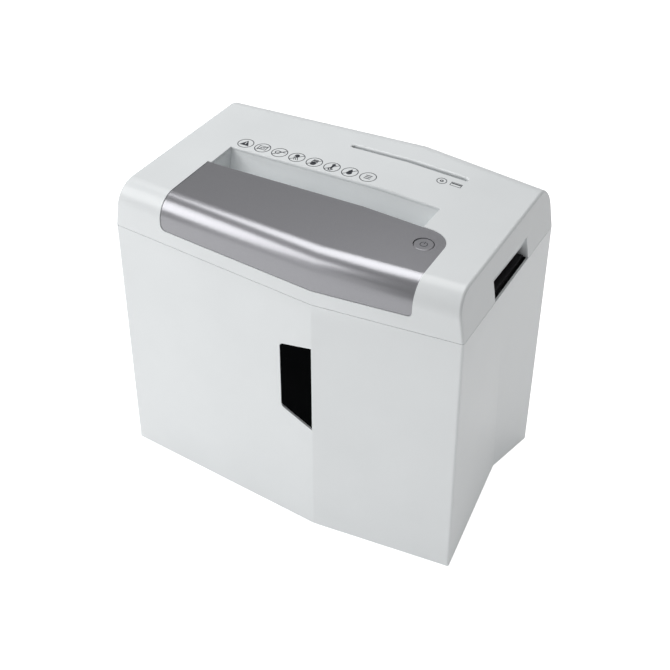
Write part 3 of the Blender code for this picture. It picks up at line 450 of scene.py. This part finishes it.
# ---- bin --------------------------------------------------------------------------------------
def make_bin(finish):
    """The waste bin: an eight-cornered plan drawn up into walls that are folded all round."""
    bottom = BIN_LOW.z
    plan = [
        (-FRONT_CORNER.x, FRONT_CORNER_Y),
        (FOLD_X, BIN_LOW.y),
        (FRONT_CORNER.x, FRONT_CORNER_Y),
        (PINCH_FOOT.x, PINCH_FOOT.y),
        (REAR_CORNER.x, REAR_CORNER.y),
        (FOLD_X, BIN_HIGH.y),
        (-REAR_CORNER.x, REAR_CORNER.y),
        (-PINCH_FOOT.x, PINCH_FOOT.y),
    ]
    bpy.ops.object.select_all(action="DESELECT")
    bpy.ops.mesh.primitive_circle_add(
        vertices=len(plan), radius=HALF_WIDTH, fill_type="NGON", location=(0, 0, bottom)
    )
    shell = settle("bin_body")
    turns = sorted(range(len(plan)), key=lambda i: math.atan2(plan[i][1], plan[i][0]))
    ring = sorted(
        range(len(plan)),
        key=lambda i: math.atan2(shell.data.vertices[i].co.y, shell.data.vertices[i].co.x),
    )
    starts = {i: shell.data.vertices[i].co.copy() for i in ring}
    open_piece(shell)
    for corner, point in zip(turns, ring):
        target = Vector((*plan[corner], bottom))
        shift_points(lambda v, here=point: v.index == here, target - starts[point])
    pick("FACE", lambda f: True)
    bpy.ops.mesh.extrude_region_move(TRANSFORM_OT_translate={"value": (0, 0, BAND_Z - bottom)})
    for side in (-1, 1):
        target = Vector((side * PINCH_TOP_X, PINCH_TOP_Y, BAND_Z))
        foot = Vector((side * PINCH_FOOT.x, PINCH_FOOT.y, BAND_Z))
        shift_points(lambda v, here=foot: (v.co - here).length < MM, target - foot)
        target = Vector((side * HALF_WIDTH, FRONT_CORNER_Y, BAND_Z))
        flared = Vector((side * FRONT_CORNER.x, FRONT_CORNER_Y, BAND_Z))
        shift_points(lambda v, here=flared: (v.co - here).length < MM, target - flared)
    pick("EDGE", lambda e: abs(e.verts[0].co.z - e.verts[1].co.z) > 100 * MM)
    bpy.ops.mesh.subdivide(number_cuts=31)
    pick("FACE", lambda f: f.calc_center_median().z > BAND_Z - MM and abs(f.normal.z) > 0.9)
    bpy.ops.mesh.extrude_region_move(TRANSFORM_OT_translate={"value": (0, 0, BIN_HIGH.z - BAND_Z)})

    def upright(edge):
        return abs(edge.verts[0].co.z - edge.verts[1].co.z) > 3 * MM

    def corner_edge(edge):
        middle = (edge.verts[0].co + edge.verts[1].co) / 2
        near_front = abs(middle.y - FRONT_CORNER_Y) < MM
        near_rear = abs(middle.y - REAR_CORNER.y) < MM and abs(middle.x) > 170 * MM
        return upright(edge) and (near_front or near_rear)

    pick("EDGE", corner_edge)
    bpy.ops.mesh.bevel(offset=2.4 * MM, segments=5, profile=0.5, affect="EDGES")
    pick(
        "EDGE",
        lambda e: max(v.co.z for v in e.verts) < bottom + MM / 2 and e.calc_face_angle(0) > 1.2,
    )
    bpy.ops.mesh.bevel(offset=1.2 * MM, segments=3, profile=0.5, affect="EDGES")
    pick("FACE", lambda f: f.calc_center_median().z > BIN_HIGH.z - MM / 2 and f.normal.z > 0.9)
    bpy.ops.mesh.delete(type="FACE")

    def fold_edge(edge):
        middle = (edge.verts[0].co + edge.verts[1].co) / 2
        share = (BAND_Z - middle.z) / (BAND_Z - bottom)
        fold_y = PINCH_TOP_Y + (PINCH_FOOT.y - PINCH_TOP_Y) * share
        on_middle = abs(middle.x - FOLD_X) < MM
        on_side = abs(middle.x) > 160 * MM and abs(middle.y - fold_y) < 1.5 * MM and share > 0
        return upright(edge) and (on_middle or on_side)

    pick("EDGE", fold_edge)
    bpy.ops.mesh.mark_sharp()
    close_piece()
    thicken(shell, BIN_WALL)
    shape_with(shell, window_tool("window_tool", 0, -6 * MM, 9 * MM))
    for name in ("foot_front_left", "foot_front_right", "foot_rear_left", "foot_rear_right"):
        low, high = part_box(name)
        spot = ((low.x + high.x) / 2, (low.y + high.y) / 2)
        shape_with(shell, drum("peg_tool", 3.3 * MM, -MM, 9 * MM, spot, 24))
    round_edges(shell, 0.5 * MM, angle=50, segments=2)
    smooth(shell, 25)
    return show(shell, finish, "bin", "white_plastic", "bin_shell")


def facet_front(x):
    """Depth of the bin's front left facet at one x."""
    return BIN_LOW.y + (FRONT_CORNER_Y - BIN_LOW.y) * (FOLD_X - x) / (FOLD_X + HALF_WIDTH)


def window_tool(name, grow, outer, inner):
    """A slab with the window's outline that follows the front left facet."""
    left = WINDOW_LOW.x + 3 * MM - grow
    right = WINDOW_HIGH.x + GAP + grow
    low_left = WINDOW_LOW.z + 17 * MM - grow
    high_left = WINDOW_HIGH.z - 11.8 * MM + grow
    low_right = WINDOW_LOW.z + 3 * MM - grow
    high_right = WINDOW_HIGH.z - 3 * MM + grow
    slab = block(name, (left, outer, low_right), (right, inner, high_right))
    open_piece(slab)
    middle_x = (left + right) / 2
    middle_z = (low_right + high_right) / 2
    shift_points(
        lambda v: v.co.x < middle_x and v.co.z < middle_z, (0, 0, low_left - low_right)
    )
    shift_points(
        lambda v: v.co.x < middle_x and v.co.z > middle_z, (0, 0, high_left - high_right)
    )
    shift_points(lambda v: v.co.x < middle_x, (0, facet_front(left), 0))
    shift_points(lambda v: v.co.x > middle_x, (0, facet_front(right), 0))
    pick(
        "EDGE",
        lambda e: abs(e.verts[0].co.y - e.verts[1].co.y) > 1.5 * MM and e.verts[0].co.x < left + MM,
    )
    bpy.ops.mesh.bevel(offset=3.6 * MM, segments=6, profile=0.5, affect="EDGES")
    close_piece()
    return slab


def make_window(finish):
    pane = window_tool("window_pane", -GAP, 0.35 * MM, 3.2 * MM)
    round_edges(pane, 0.35 * MM, angle=50, segments=2)
    smooth(pane)
    return show(pane, finish, "bin", "smoked_window", "bin_window")


# ---- head -------------------------------------------------------------------------------------
def head_block(name, inset, base):
    """The head's outer form as a closed block, its surface moved inwards by inset."""
    low = (-HALF_WIDTH + inset, FRONT_CORNER_Y + inset, base)
    high = (HALF_WIDTH - inset, REAR_CORNER.y - inset, RIDGE_Z - inset)
    form = block(name, low, high)
    open_piece(form)
    pick("FACE", lambda f: True)
    bpy.ops.mesh.bisect(plane_co=(FOLD_X, 0, 0), plane_no=(1, 0, 0))

    def on_fold(v):
        return abs(v.co.x - FOLD_X) < MM

    shift_points(lambda v: on_fold(v) and v.co.y < 0, (0, BIN_LOW.y - FRONT_CORNER_Y, 0))
    shift_points(lambda v: on_fold(v) and v.co.y > 0, (0, BIN_HIGH.y - REAR_CORNER.y, 0))
    narrowing = HALF_WIDTH - REAR_CORNER.x
    shift_points(lambda v: v.co.x < 0 and v.co.y > 0, (narrowing, 0, 0))
    shift_points(lambda v: v.co.x > FOLD_X + MM and v.co.y > 0, (-narrowing, 0, 0))
    top = RIDGE_Z - inset - MM
    shift_points(lambda v: v.co.x < 0 and v.co.z > top, (HEAD_LEAN, 0, TOP_LEFT_Z - RIDGE_Z))
    shift_points(
        lambda v: v.co.x > FOLD_X + MM and v.co.z > top, (-HEAD_LEAN, 0, TOP_RIGHT_Z - RIDGE_Z)
    )
    mid = (base + RIDGE_Z) / 2
    for side in (-1, 1):
        pick("EDGE", lambda e: all(v.co.z > mid and v.co.y * side > 80 * MM for v in e.verts))
        bpy.ops.mesh.bevel(offset=TOP_ROUND - inset, segments=20, profile=0.5, affect="EDGES")
    pick(
        "EDGE",
        lambda e: e.calc_face_angle(0) > math.radians(40)
        and max(v.co.z for v in e.verts) > base + MM,
    )
    bpy.ops.mesh.bevel(
        offset=max(EDGE_ROUND - inset, 0.4 * MM), segments=5, profile=0.5, affect="EDGES"
    )
    close_piece()
    return form


def make_cover(finish):
    base = HEAD_LOW.z
    cover = head_block("head_cover", 0, base)
    open_piece(cover)
    pick("FACE", lambda f: f.normal.z < -0.9)
    bpy.ops.mesh.delete(type="FACE")
    close_piece()
    thicken(cover, HEAD_WALL)
    for side in (-1, 1):
        for y in (GRIP_LOW.y - GAP - RIB_THICK, GRIP_HIGH.y + GAP):
            rib = (y, y + RIB_THICK), (base + GAP, GRIP_TOP)
            shape_with(cover, side_block("grip_rib", side, 163 * MM, 176.5 * MM, *rib), "UNION")
        shape_with(cover, grip_tool(side, base))
        brow = (GRIP_LOW.y - MM, GRIP_HIGH.y + MM), (BROW_Z, GRIP_TOP + 1.5 * MM)
        shape_with(cover, side_block("brow", side, 166 * MM, 175.6 * MM, *brow), "UNION")
        shape_with(cover, scoop_tool(side))
    shape_with(cover, gland_tool())
    shape_with(cover, feed_tool())
    soften(cover, FEED_EDGE_ROUND, lambda p: abs(p.y - FEED_REAR_Y) < MM / 5 and on_top(p))
    shape_with(cover, insert_zone("insert_tool", 0))
    shape_with(cover, disc_tool())
    soften(
        cover,
        DISC_EDGE_ROUND,
        lambda p: DISC_FRONT_Y + MM / 2 < p.y < DISC_REAR_Y + MM / 5
        and DISC_LOW.x < p.x < DISC_HIGH.x
        and on_top(p),
    )
    round_edges(cover, 0.7 * MM, angle=55, segments=3)
    smooth(cover, 30)
    return show(cover, finish, "head", "white_plastic", "top_cover")


def on_top(point):
    return point.z > top_height(point.x) - MM / 5


def soften(obj, width, near):
    """Rolls over the edges whose middles lie where wanted."""
    open_piece(obj)
    pick(
        "EDGE",
        lambda e: near((e.verts[0].co + e.verts[1].co) / 2)
        and e.calc_face_angle(0) > math.radians(50),
    )
    bpy.ops.mesh.bevel(offset=width, segments=5, profile=0.5, affect="EDGES")
    close_piece()


def grip_tool(side, base):
    """The opening of a grip, with its upper corners rounded."""
    ys = (GRIP_LOW.y - GAP, GRIP_HIGH.y + GAP)
    tool = side_block("grip_tool", side, 150 * MM, 190 * MM, ys, (base - 5 * MM, GRIP_TOP))
    open_piece(tool)
    pick(
        "EDGE",
        lambda e: all(v.co.z > base for v in e.verts)
        and abs(e.verts[0].co.x - e.verts[1].co.x) > MM,
    )
    bpy.ops.mesh.bevel(offset=3 * MM, segments=6, profile=0.5, affect="EDGES")
    close_piece()
    return tool


def scoop_tool(side):
    """A wedge that leads the fingers in: it scoops the side above a grip inwards."""
    depth = 171.8 * MM
    outside = 190 * MM
    top = GRIP_TOP + 3 * MM
    ys = (GRIP_LOW.y - GAP, GRIP_HIGH.y + GAP)
    wedge = side_block("scoop_tool", side, depth, outside, ys, (BROW_Z - 2 * MM, top))
    open_piece(wedge)
    shift_points(
        lambda v: v.co.x * side < outside - MM and v.co.z > top - MM, (side * 4.4 * MM, 0, 0)
    )
    close_piece()
    return wedge


def make_pocket(side, finish):
    """The channel behind a grip, under the brow, in black plastic as painted shade: it stands for the dark
    opening into the shaded inside of the head.
    """
    node = "grip_pocket_right" if side > 0 else "grip_pocket_left"
    ys = (GRIP_LOW.y, GRIP_HIGH.y)
    zs = (GRIP_LOW.z, BROW_Z - GAP)
    pocket = side_block("finger_" + node, side, GRIP_LOW.x, 174.5 * MM, ys, zs)
    open_piece(pocket)
    shift_points(
        lambda v: v.co.x * side > 170 * MM and v.co.z > BROW_Z - MM, (-side * 3.5 * MM, 0, 0)
    )
    pick("FACE", lambda f: abs(f.normal.y) > 0.9 or f.normal.x * side > 0.5)
    bpy.ops.mesh.delete(type="FACE")
    close_piece()
    thicken(pocket, POCKET_WALL)
    smooth(pocket)
    # painted shade: black plastic stands in for the shade inside the grip's opening into the head
    return show(pocket, finish, "head", "black_plastic", node)


def feed_tool():
    low = (THROAT_LOW.x + THROAT_WALL, INSERT_HIGH.y - INSERT_GAP, CUT_LOW_Z)
    high = (THROAT_HIGH.x - THROAT_WALL, FEED_REAR_Y, CUT_HIGH_Z)
    return block("feed_tool", low, high)


def disc_tool():
    low = (DISC_LEFT_X, DISC_FRONT_Y, CUT_LOW_Z)
    high = (DISC_RIGHT_X, DISC_REAR_Y, CUT_HIGH_Z)
    tool = block("disc_tool", low, high)
    open_piece(tool)
    pick("EDGE", lambda e: abs(e.verts[0].co.z - e.verts[1].co.z) > 10 * MM)
    bpy.ops.mesh.bevel(offset=2.7 * MM, segments=6, profile=0.5, affect="EDGES")
    close_piece()
    return tool


def gland_tool():
    low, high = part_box("cord_gland")
    bpy.ops.object.select_all(action="DESELECT")
    bpy.ops.mesh.primitive_cylinder_add(
        vertices=32,
        radius=6.6 * MM,
        depth=40 * MM,
        location=((low.x + high.x) / 2, high.y - 6 * MM, (low.z + high.z) / 2),
        rotation=(math.radians(90), 0, 0),
    )
    return settle("gland_tool")


def insert_zone(name, shrink):
    """The room of the grey insert in the cover, or the insert's own limits when shrunk."""
    inset = shrink - INSERT_GAP
    low = (INSERT_LOW.x + inset, BIN_LOW.y - 20 * MM, INSERT_LOW.z + inset)
    high = (INSERT_HIGH.x - inset, INSERT_HIGH.y - inset, CUT_HIGH_Z + 10 * MM)
    zone = block(name, low, high)
    open_piece(zone)
    shift_points(lambda v: v.co.x > 0 and v.co.y > -50 * MM, (-2.8 * MM, 0, 0))
    pick(
        "EDGE",
        lambda e: abs(e.verts[0].co.z - e.verts[1].co.z) > 10 * MM
        and all(v.co.x > 0 and v.co.y > -50 * MM for v in e.verts),
    )
    bpy.ops.mesh.bevel(offset=20 * MM - shrink, segments=18, profile=0.5, affect="EDGES")
    pick(
        "EDGE",
        lambda e: abs(e.verts[0].co.y - e.verts[1].co.y) > 30 * MM
        and all(v.co.z < 300 * MM for v in e.verts),
    )
    bpy.ops.mesh.bevel(offset=5.5 * MM - shrink, segments=8, profile=0.5, affect="EDGES")
    close_piece()
    return zone


def make_insert(finish):
    insert = head_block("grey_insert", INSERT_SINK, HEAD_LOW.z)
    shape_with(insert, insert_zone("insert_limits", 0.25 * MM), "INTERSECT")
    under = INSERT_SINK + HEAD_WALL
    shape_with(insert, head_block("insert_under", under, HEAD_LOW.z - 10 * MM))
    hole = BUTTON_RADIUS + 0.35 * MM
    shape_with(insert, drum("button_tool", hole, CUT_LOW_Z, CUT_HIGH_Z, BUTTON_SPOT, 64))
    round_edges(insert, 0.5 * MM, angle=55, segments=3)
    smooth(insert, 30)
    return show(insert, finish, "head", "grey_gloss", "feed_insert")


def make_disc_chute(finish):
    """The thin-walled chute under the disc slot, whose top follows the ridge of the head."""
    low = (DISC_LEFT_X, DISC_FRONT_Y, DISC_LOW.z)
    chute = block("disc_chute", low, (DISC_RIGHT_X, DISC_REAR_Y, DISC_HIGH.z))
    open_piece(chute)
    pick("FACE", lambda f: True)
    bpy.ops.mesh.bisect(plane_co=(FOLD_X, 0, 0), plane_no=(1, 0, 0))
    for end in (DISC_LEFT_X, FOLD_X, DISC_RIGHT_X):
        rise = top_height(end) - HEAD_WALL - GAP - DISC_HIGH.z
        shift_points(
            lambda v, x=end: abs(v.co.x - x) < MM and v.co.z > DISC_HIGH.z - 3 * MM, (0, 0, rise)
        )
    pick("FACE", lambda f: abs(f.normal.z) > 0.9)
    bpy.ops.mesh.delete(type="FACE")
    close_piece()
    thicken(chute, CHUTE_WALL, 1)
    smooth(chute)
    return show(chute, finish, "head", "white_plastic", "disc_throat")


def make_button_coil(finish):
    """The spring under the button, a coil of wire with its ends closed."""
    low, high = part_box("button_spring")
    wire = 0.35 * MM
    turns = 4
    bpy.ops.object.select_all(action="DESELECT")
    bpy.ops.mesh.primitive_circle_add(
        vertices=12,
        radius=wire,
        location=((high.x - low.x) / 2 - wire, 0, 0),
        rotation=(math.radians(90), 0, 0),
    )
    coil = settle("button_coil")
    winding = coil.modifiers.new("Winding", "SCREW")
    winding.screw_offset = (high.z - low.z - 2 * wire) / turns
    winding.iterations = turns
    winding.steps = 28
    winding.render_steps = 28
    apply_all(coil)
    open_piece(coil)
    middle = (high.z - low.z) / 2
    for end in (-1, 1):
        pick(
            "EDGE",
            lambda e: e.is_boundary and all((v.co.z - middle) * end > middle / 2 for v in e.verts),
        )
        bpy.ops.mesh.edge_face_add()
    pick("FACE", lambda f: True)
    bpy.ops.mesh.normals_make_consistent(inside=False)
    bpy.ops.transform.translate(value=(*BUTTON_SPOT, low.z + wire))
    close_piece()
    smooth(coil)
    show(coil, finish, "head", "steel", "button_spring")
    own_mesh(coil)


def make_button(finish):
    """The push button: a capped disc with a flange and a stem under it."""
    flange_low = 318.5 * MM
    flange_high = 320 * MM
    button = drum("push_button", BUTTON_RADIUS, flange_high - MM, BUTTON_HIGH.z, BUTTON_SPOT, 64)
    open_piece(button)
    pick("EDGE", lambda e: all(v.co.z > BUTTON_HIGH.z - MM / 5 for v in e.verts))
    bpy.ops.mesh.bevel(offset=0.8 * MM, segments=4, profile=0.5, affect="EDGES")
    close_piece()
    shape_with(button, drum("flange", 10.6 * MM, flange_low, flange_high, BUTTON_SPOT, 64), "UNION")
    stem = drum("stem", 1.8 * MM, BUTTON_LOW.z, flange_low + MM, BUTTON_SPOT, 24)
    shape_with(button, stem, "UNION")
    smooth(button)
    return show(button, finish, "button", "grey_gloss", "power_button")


# ---- printed signs ----------------------------------------------------------------------------
PRINT_THICK = 0.12 * MM
FIRST_SIGN_X = -112.1 * MM
SIGN_STEP = 19.33 * MM
SIGN_Y = 22.8 * MM


def ring(name, radius, width, centre=(0, 0)):
    """A flat printed ring, made round the middle and at height 0."""
    outer = drum(name, radius, 0, PRINT_THICK, centre, 40)
    shape_with(outer, drum("hole", radius - width, -MM, MM, centre, 40))
    return outer


def stroke(name, length, width, centre=(0, 0), turn=0):
    """A flat printed bar, turned by an angle in degrees."""
    bar = block(name, (-length / 2, -width / 2, 0), (length / 2, width / 2, PRINT_THICK))
    open_piece(bar)
    pick("FACE", lambda f: True)
    bpy.ops.transform.rotate(value=math.radians(turn), orient_axis="Z", center_override=(0, 0, 0))
    bpy.ops.transform.translate(value=(*centre, 0))
    close_piece()
    return bar


def patch(name, corners, radius, centre=(0, 0), turn=0):
    """A flat printed shape with equal sides."""
    bpy.ops.object.select_all(action="DESELECT")
    bpy.ops.mesh.primitive_cylinder_add(
        vertices=corners,
        radius=radius,
        depth=PRINT_THICK,
        location=(*centre, PRINT_THICK / 2),
        rotation=(0, 0, math.radians(turn)),
    )
    return settle(name)


def pictogram(kind):
    """The parts of one generic sign, as flat pieces around the middle."""
    if kind == "caution":
        mark = patch("mark", 3, 4.6 * MM, (0, -0.6 * MM))
        shape_with(mark, block("slot", (-0.45 * MM, -1.2 * MM, -MM), (0.45 * MM, 1.9 * MM, MM)))
        return [mark]
    if kind == "sheet":
        sheet = block("mark", (-3.6 * MM, -2.4 * MM, 0), (3.6 * MM, 2.6 * MM, PRINT_THICK))
        shape_with(sheet, block("inside", (-3 * MM, -1.8 * MM, -MM), (3 * MM, 2 * MM, MM)))
        return [sheet, stroke("line", 4 * MM, 0.5 * MM)]
    if kind == "drop":
        drop = patch("mark", 24, 2.2 * MM, (0, -1.2 * MM))
        return [drop, patch("tip", 3, 2.3 * MM, (0, 1.8 * MM))]
    if kind == "clip":
        eye = ring("mark", 2.2 * MM, 0.7 * MM, (-1.6 * MM, 0))
        return [eye, stroke("arm", 5 * MM, 0.7 * MM, (1.8 * MM, 1.4 * MM))]
    if kind == "hand":
        palm = patch("mark", 20, 2.3 * MM, (0, -1.8 * MM))
        fingers = [
            stroke("finger", 4.2 * MM, 0.8 * MM, (shift * MM, 1.6 * MM), 90 - shift * 6)
            for shift in (-1.8, -0.6, 0.6, 1.8)
        ]
        return [palm, *fingers]
    if kind == "hair":
        head = patch("mark", 20, 1.9 * MM, (-0.8 * MM, 2.2 * MM))
        strands = [
            stroke("strand", 4.4 * MM, 0.5 * MM, (shift * MM, -1.6 * MM), 65)
            for shift in (-1.5, 0, 1.5)
        ]
        return [head, *strands]
    if kind == "person":
        return [
            patch("mark", 20, 1.5 * MM, (0, 3.2 * MM)),
            stroke("body", 4.4 * MM, 1.6 * MM, (0, -0.4 * MM), 90),
            stroke("leg", 3 * MM, 0.9 * MM, (-1.1 * MM, -3.4 * MM), 62),
            stroke("other_leg", 3 * MM, 0.9 * MM, (1.1 * MM, -3.4 * MM), 118),
        ]
    return [stroke("mark", 5 * MM, 0.8 * MM, (0, shift * MM)) for shift in (-2, 0, 2)]


def make_sign(name, parts, spot, finish, size=1.0, on_button=False):
    """Joins flat pieces to one sign and lays it on the head's sloping top, or on the button."""
    bpy.ops.object.select_all(action="DESELECT")
    for part in parts:
        part.select_set(True)
    bpy.context.view_layer.objects.active = parts[0]
    if len(parts) > 1:
        bpy.ops.object.join()
    sign = bpy.context.active_object
    open_piece(sign)
    pick("FACE", lambda f: True)
    bpy.ops.transform.resize(value=(size, size, 1), center_override=(0, 0, 0))
    slope = LEFT_SLOPE if spot[0] < FOLD_X else -RIGHT_SLOPE
    surface = top_height(spot[0])
    if on_button:
        slope = 0
        surface = BUTTON_HIGH.z
    bpy.ops.transform.rotate(
        value=math.atan(slope), orient_axis="Y", orient_type="GLOBAL", center_override=(0, 0, 0)
    )
    bpy.ops.transform.translate(value=(*spot, surface - PRINT_THICK / 2))
    close_piece()
    settle(name)
    show(sign, finish, "button" if on_button else "head", "black_plastic")


def make_signs(finish):
    kinds = ("caution", "sheet", "clip", "hair", "hand", "person", "drop", "bars")
    for place, kind in enumerate(kinds):
        parts = [ring("rim", 6.35 * MM, 0.6 * MM), *pictogram(kind)]
        if kind not in ("caution", "bars"):
            parts.append(stroke("bar", 12.2 * MM, 0.6 * MM, turn=-45))
        spot = (FIRST_SIGN_X + place * SIGN_STEP, SIGN_Y)
        make_sign(f"sign_{kind}", parts, spot, finish, 1.3)
    disc = [ring("rim", 5 * MM, 0.7 * MM), ring("hub", 1.8 * MM, 1 * MM)]
    make_sign("sign_disc", disc, (84.7 * MM, 52.8 * MM), finish)
    card = block("card", (-5.5 * MM, -3 * MM, 0), (5.5 * MM, 3 * MM, PRINT_THICK))
    shape_with(card, block("inside", (-5 * MM, -2.5 * MM, -MM), (5 * MM, 2.5 * MM, MM)))
    band = stroke("band", 10.4 * MM, 1.5 * MM, (0, 1 * MM))
    make_sign("sign_card", [card, band], (99 * MM, 53.6 * MM), finish)
    power = ring("rim", 3 * MM, 0.6 * MM)
    shape_with(power, block("gap", (-MM, MM, -MM), (MM, 4 * MM, MM)))
    bar = stroke("bar", 3.4 * MM, 0.6 * MM, (0, 1.9 * MM), 90)
    make_sign("sign_power", [power, bar], BUTTON_SPOT, finish, 1.2, on_button=True)


# ---- studio -----------------------------------------------------------------------------------
def brighten(tree, strength, light, extra):
    """A strength that lights the object with one value and looks brighter by another."""
    path = tree.nodes.new("ShaderNodeLightPath")
    total = tree.nodes.new("ShaderNodeMath")
    total.operation = "MULTIPLY_ADD"
    total.inputs[1].default_value = extra
    total.inputs[2].default_value = light
    tree.links.new(path.outputs["Is Camera Ray"], total.inputs[0])
    tree.links.new(total.outputs[0], strength)


def make_studio():
    """A plain pale floor, a white backdrop and three soft lamps."""
    bpy.ops.object.select_all(action="DESELECT")
    bpy.ops.mesh.primitive_plane_add(size=14, location=(0, 0, -MM / 5))
    floor = settle("studio_floor")
    tone = bpy.data.materials.new("studio_floor")
    tone.use_nodes = True
    shader = tone.node_tree.nodes["Principled BSDF"]
    shader.inputs["Base Color"].default_value = (0.9, 0.9, 0.9, 1)
    shader.inputs["Roughness"].default_value = 0.9
    shader.inputs["Specular IOR Level"].default_value = 0.1
    shader.inputs["Emission Color"].default_value = (1, 1, 1, 1)
    brighten(tone.node_tree, shader.inputs["Emission Strength"], 0.33, 0.5)
    floor.data.materials.append(tone)

    world = bpy.data.worlds.new("studio")
    world.use_nodes = True
    sky = world.node_tree.nodes["Background"]
    sky.inputs["Color"].default_value = (1, 1, 1, 1)
    brighten(world.node_tree, sky.inputs["Strength"], 0.24, 0.8)
    bpy.context.scene.world = world

    lamps = (
        ("key", (-1.4, -1.25, 1.5), 1.3, 20),
        ("top", (-0.5, 0.5, 2.2), 1.4, 22),
        ("front", (-0.9, -2.1, 0.5), 1.2, 3),
    )
    for name, place, size, power in lamps:
        data = bpy.data.lights.new(name, "AREA")
        data.size = size
        data.energy = power
        lamp = bpy.data.objects.new(name, data)
        lamp.location = place
        aim = Vector((0, 0, 0.2)) - Vector(place)
        lamp.rotation_euler = aim.to_track_quat("-Z", "Y").to_euler()
        bpy.context.scene.collection.objects.link(lamp)


def make_camera():
    data = bpy.data.cameras.new("camera")
    data.lens = CAMERA_LENS
    data.sensor_width = SENSOR_WIDTH
    camera = bpy.data.objects.new("camera", data)
    camera.location = CAMERA_PLACE
    data.shift_y = CAMERA_SHIFT
    camera.rotation_euler = (
        math.radians(90 - CAMERA_ELEVATION),
        math.radians(CAMERA_ROLL),
        math.radians(CAMERA_AZIMUTH),
    )
    bpy.context.scene.collection.objects.link(camera)
    bpy.context.scene.camera = camera
    bpy.context.scene.view_settings.view_transform = "Standard"


# ---- all together -----------------------------------------------------------------------------
def dress_frame(finishes):
    """Every CAD node that stays visible takes its slot's finish."""
    slots = {entry["node"]: entry["material_slot"] for entry in frame["record"]["subparts"]}
    for name, node in frame["nodes"].items():
        node.data.materials.clear()
        node.data.materials.append(finishes[slots[name]])


def main():
    make_camera()
    make_studio()
    finishes = make_materials()
    dress_frame(finishes)
    make_bin(finishes["white_plastic"])
    make_window(finishes["smoked_window"])
    make_cover(finishes["white_plastic"])
    for side in (-1, 1):
        make_pocket(side, finishes["black_plastic"])
    make_insert(finishes["grey_gloss"])
    make_button(finishes["grey_gloss"])
    make_button_coil(finishes["steel"])
    make_disc_chute(finishes["white_plastic"])
    make_signs(finishes["sign_ink"])


main()
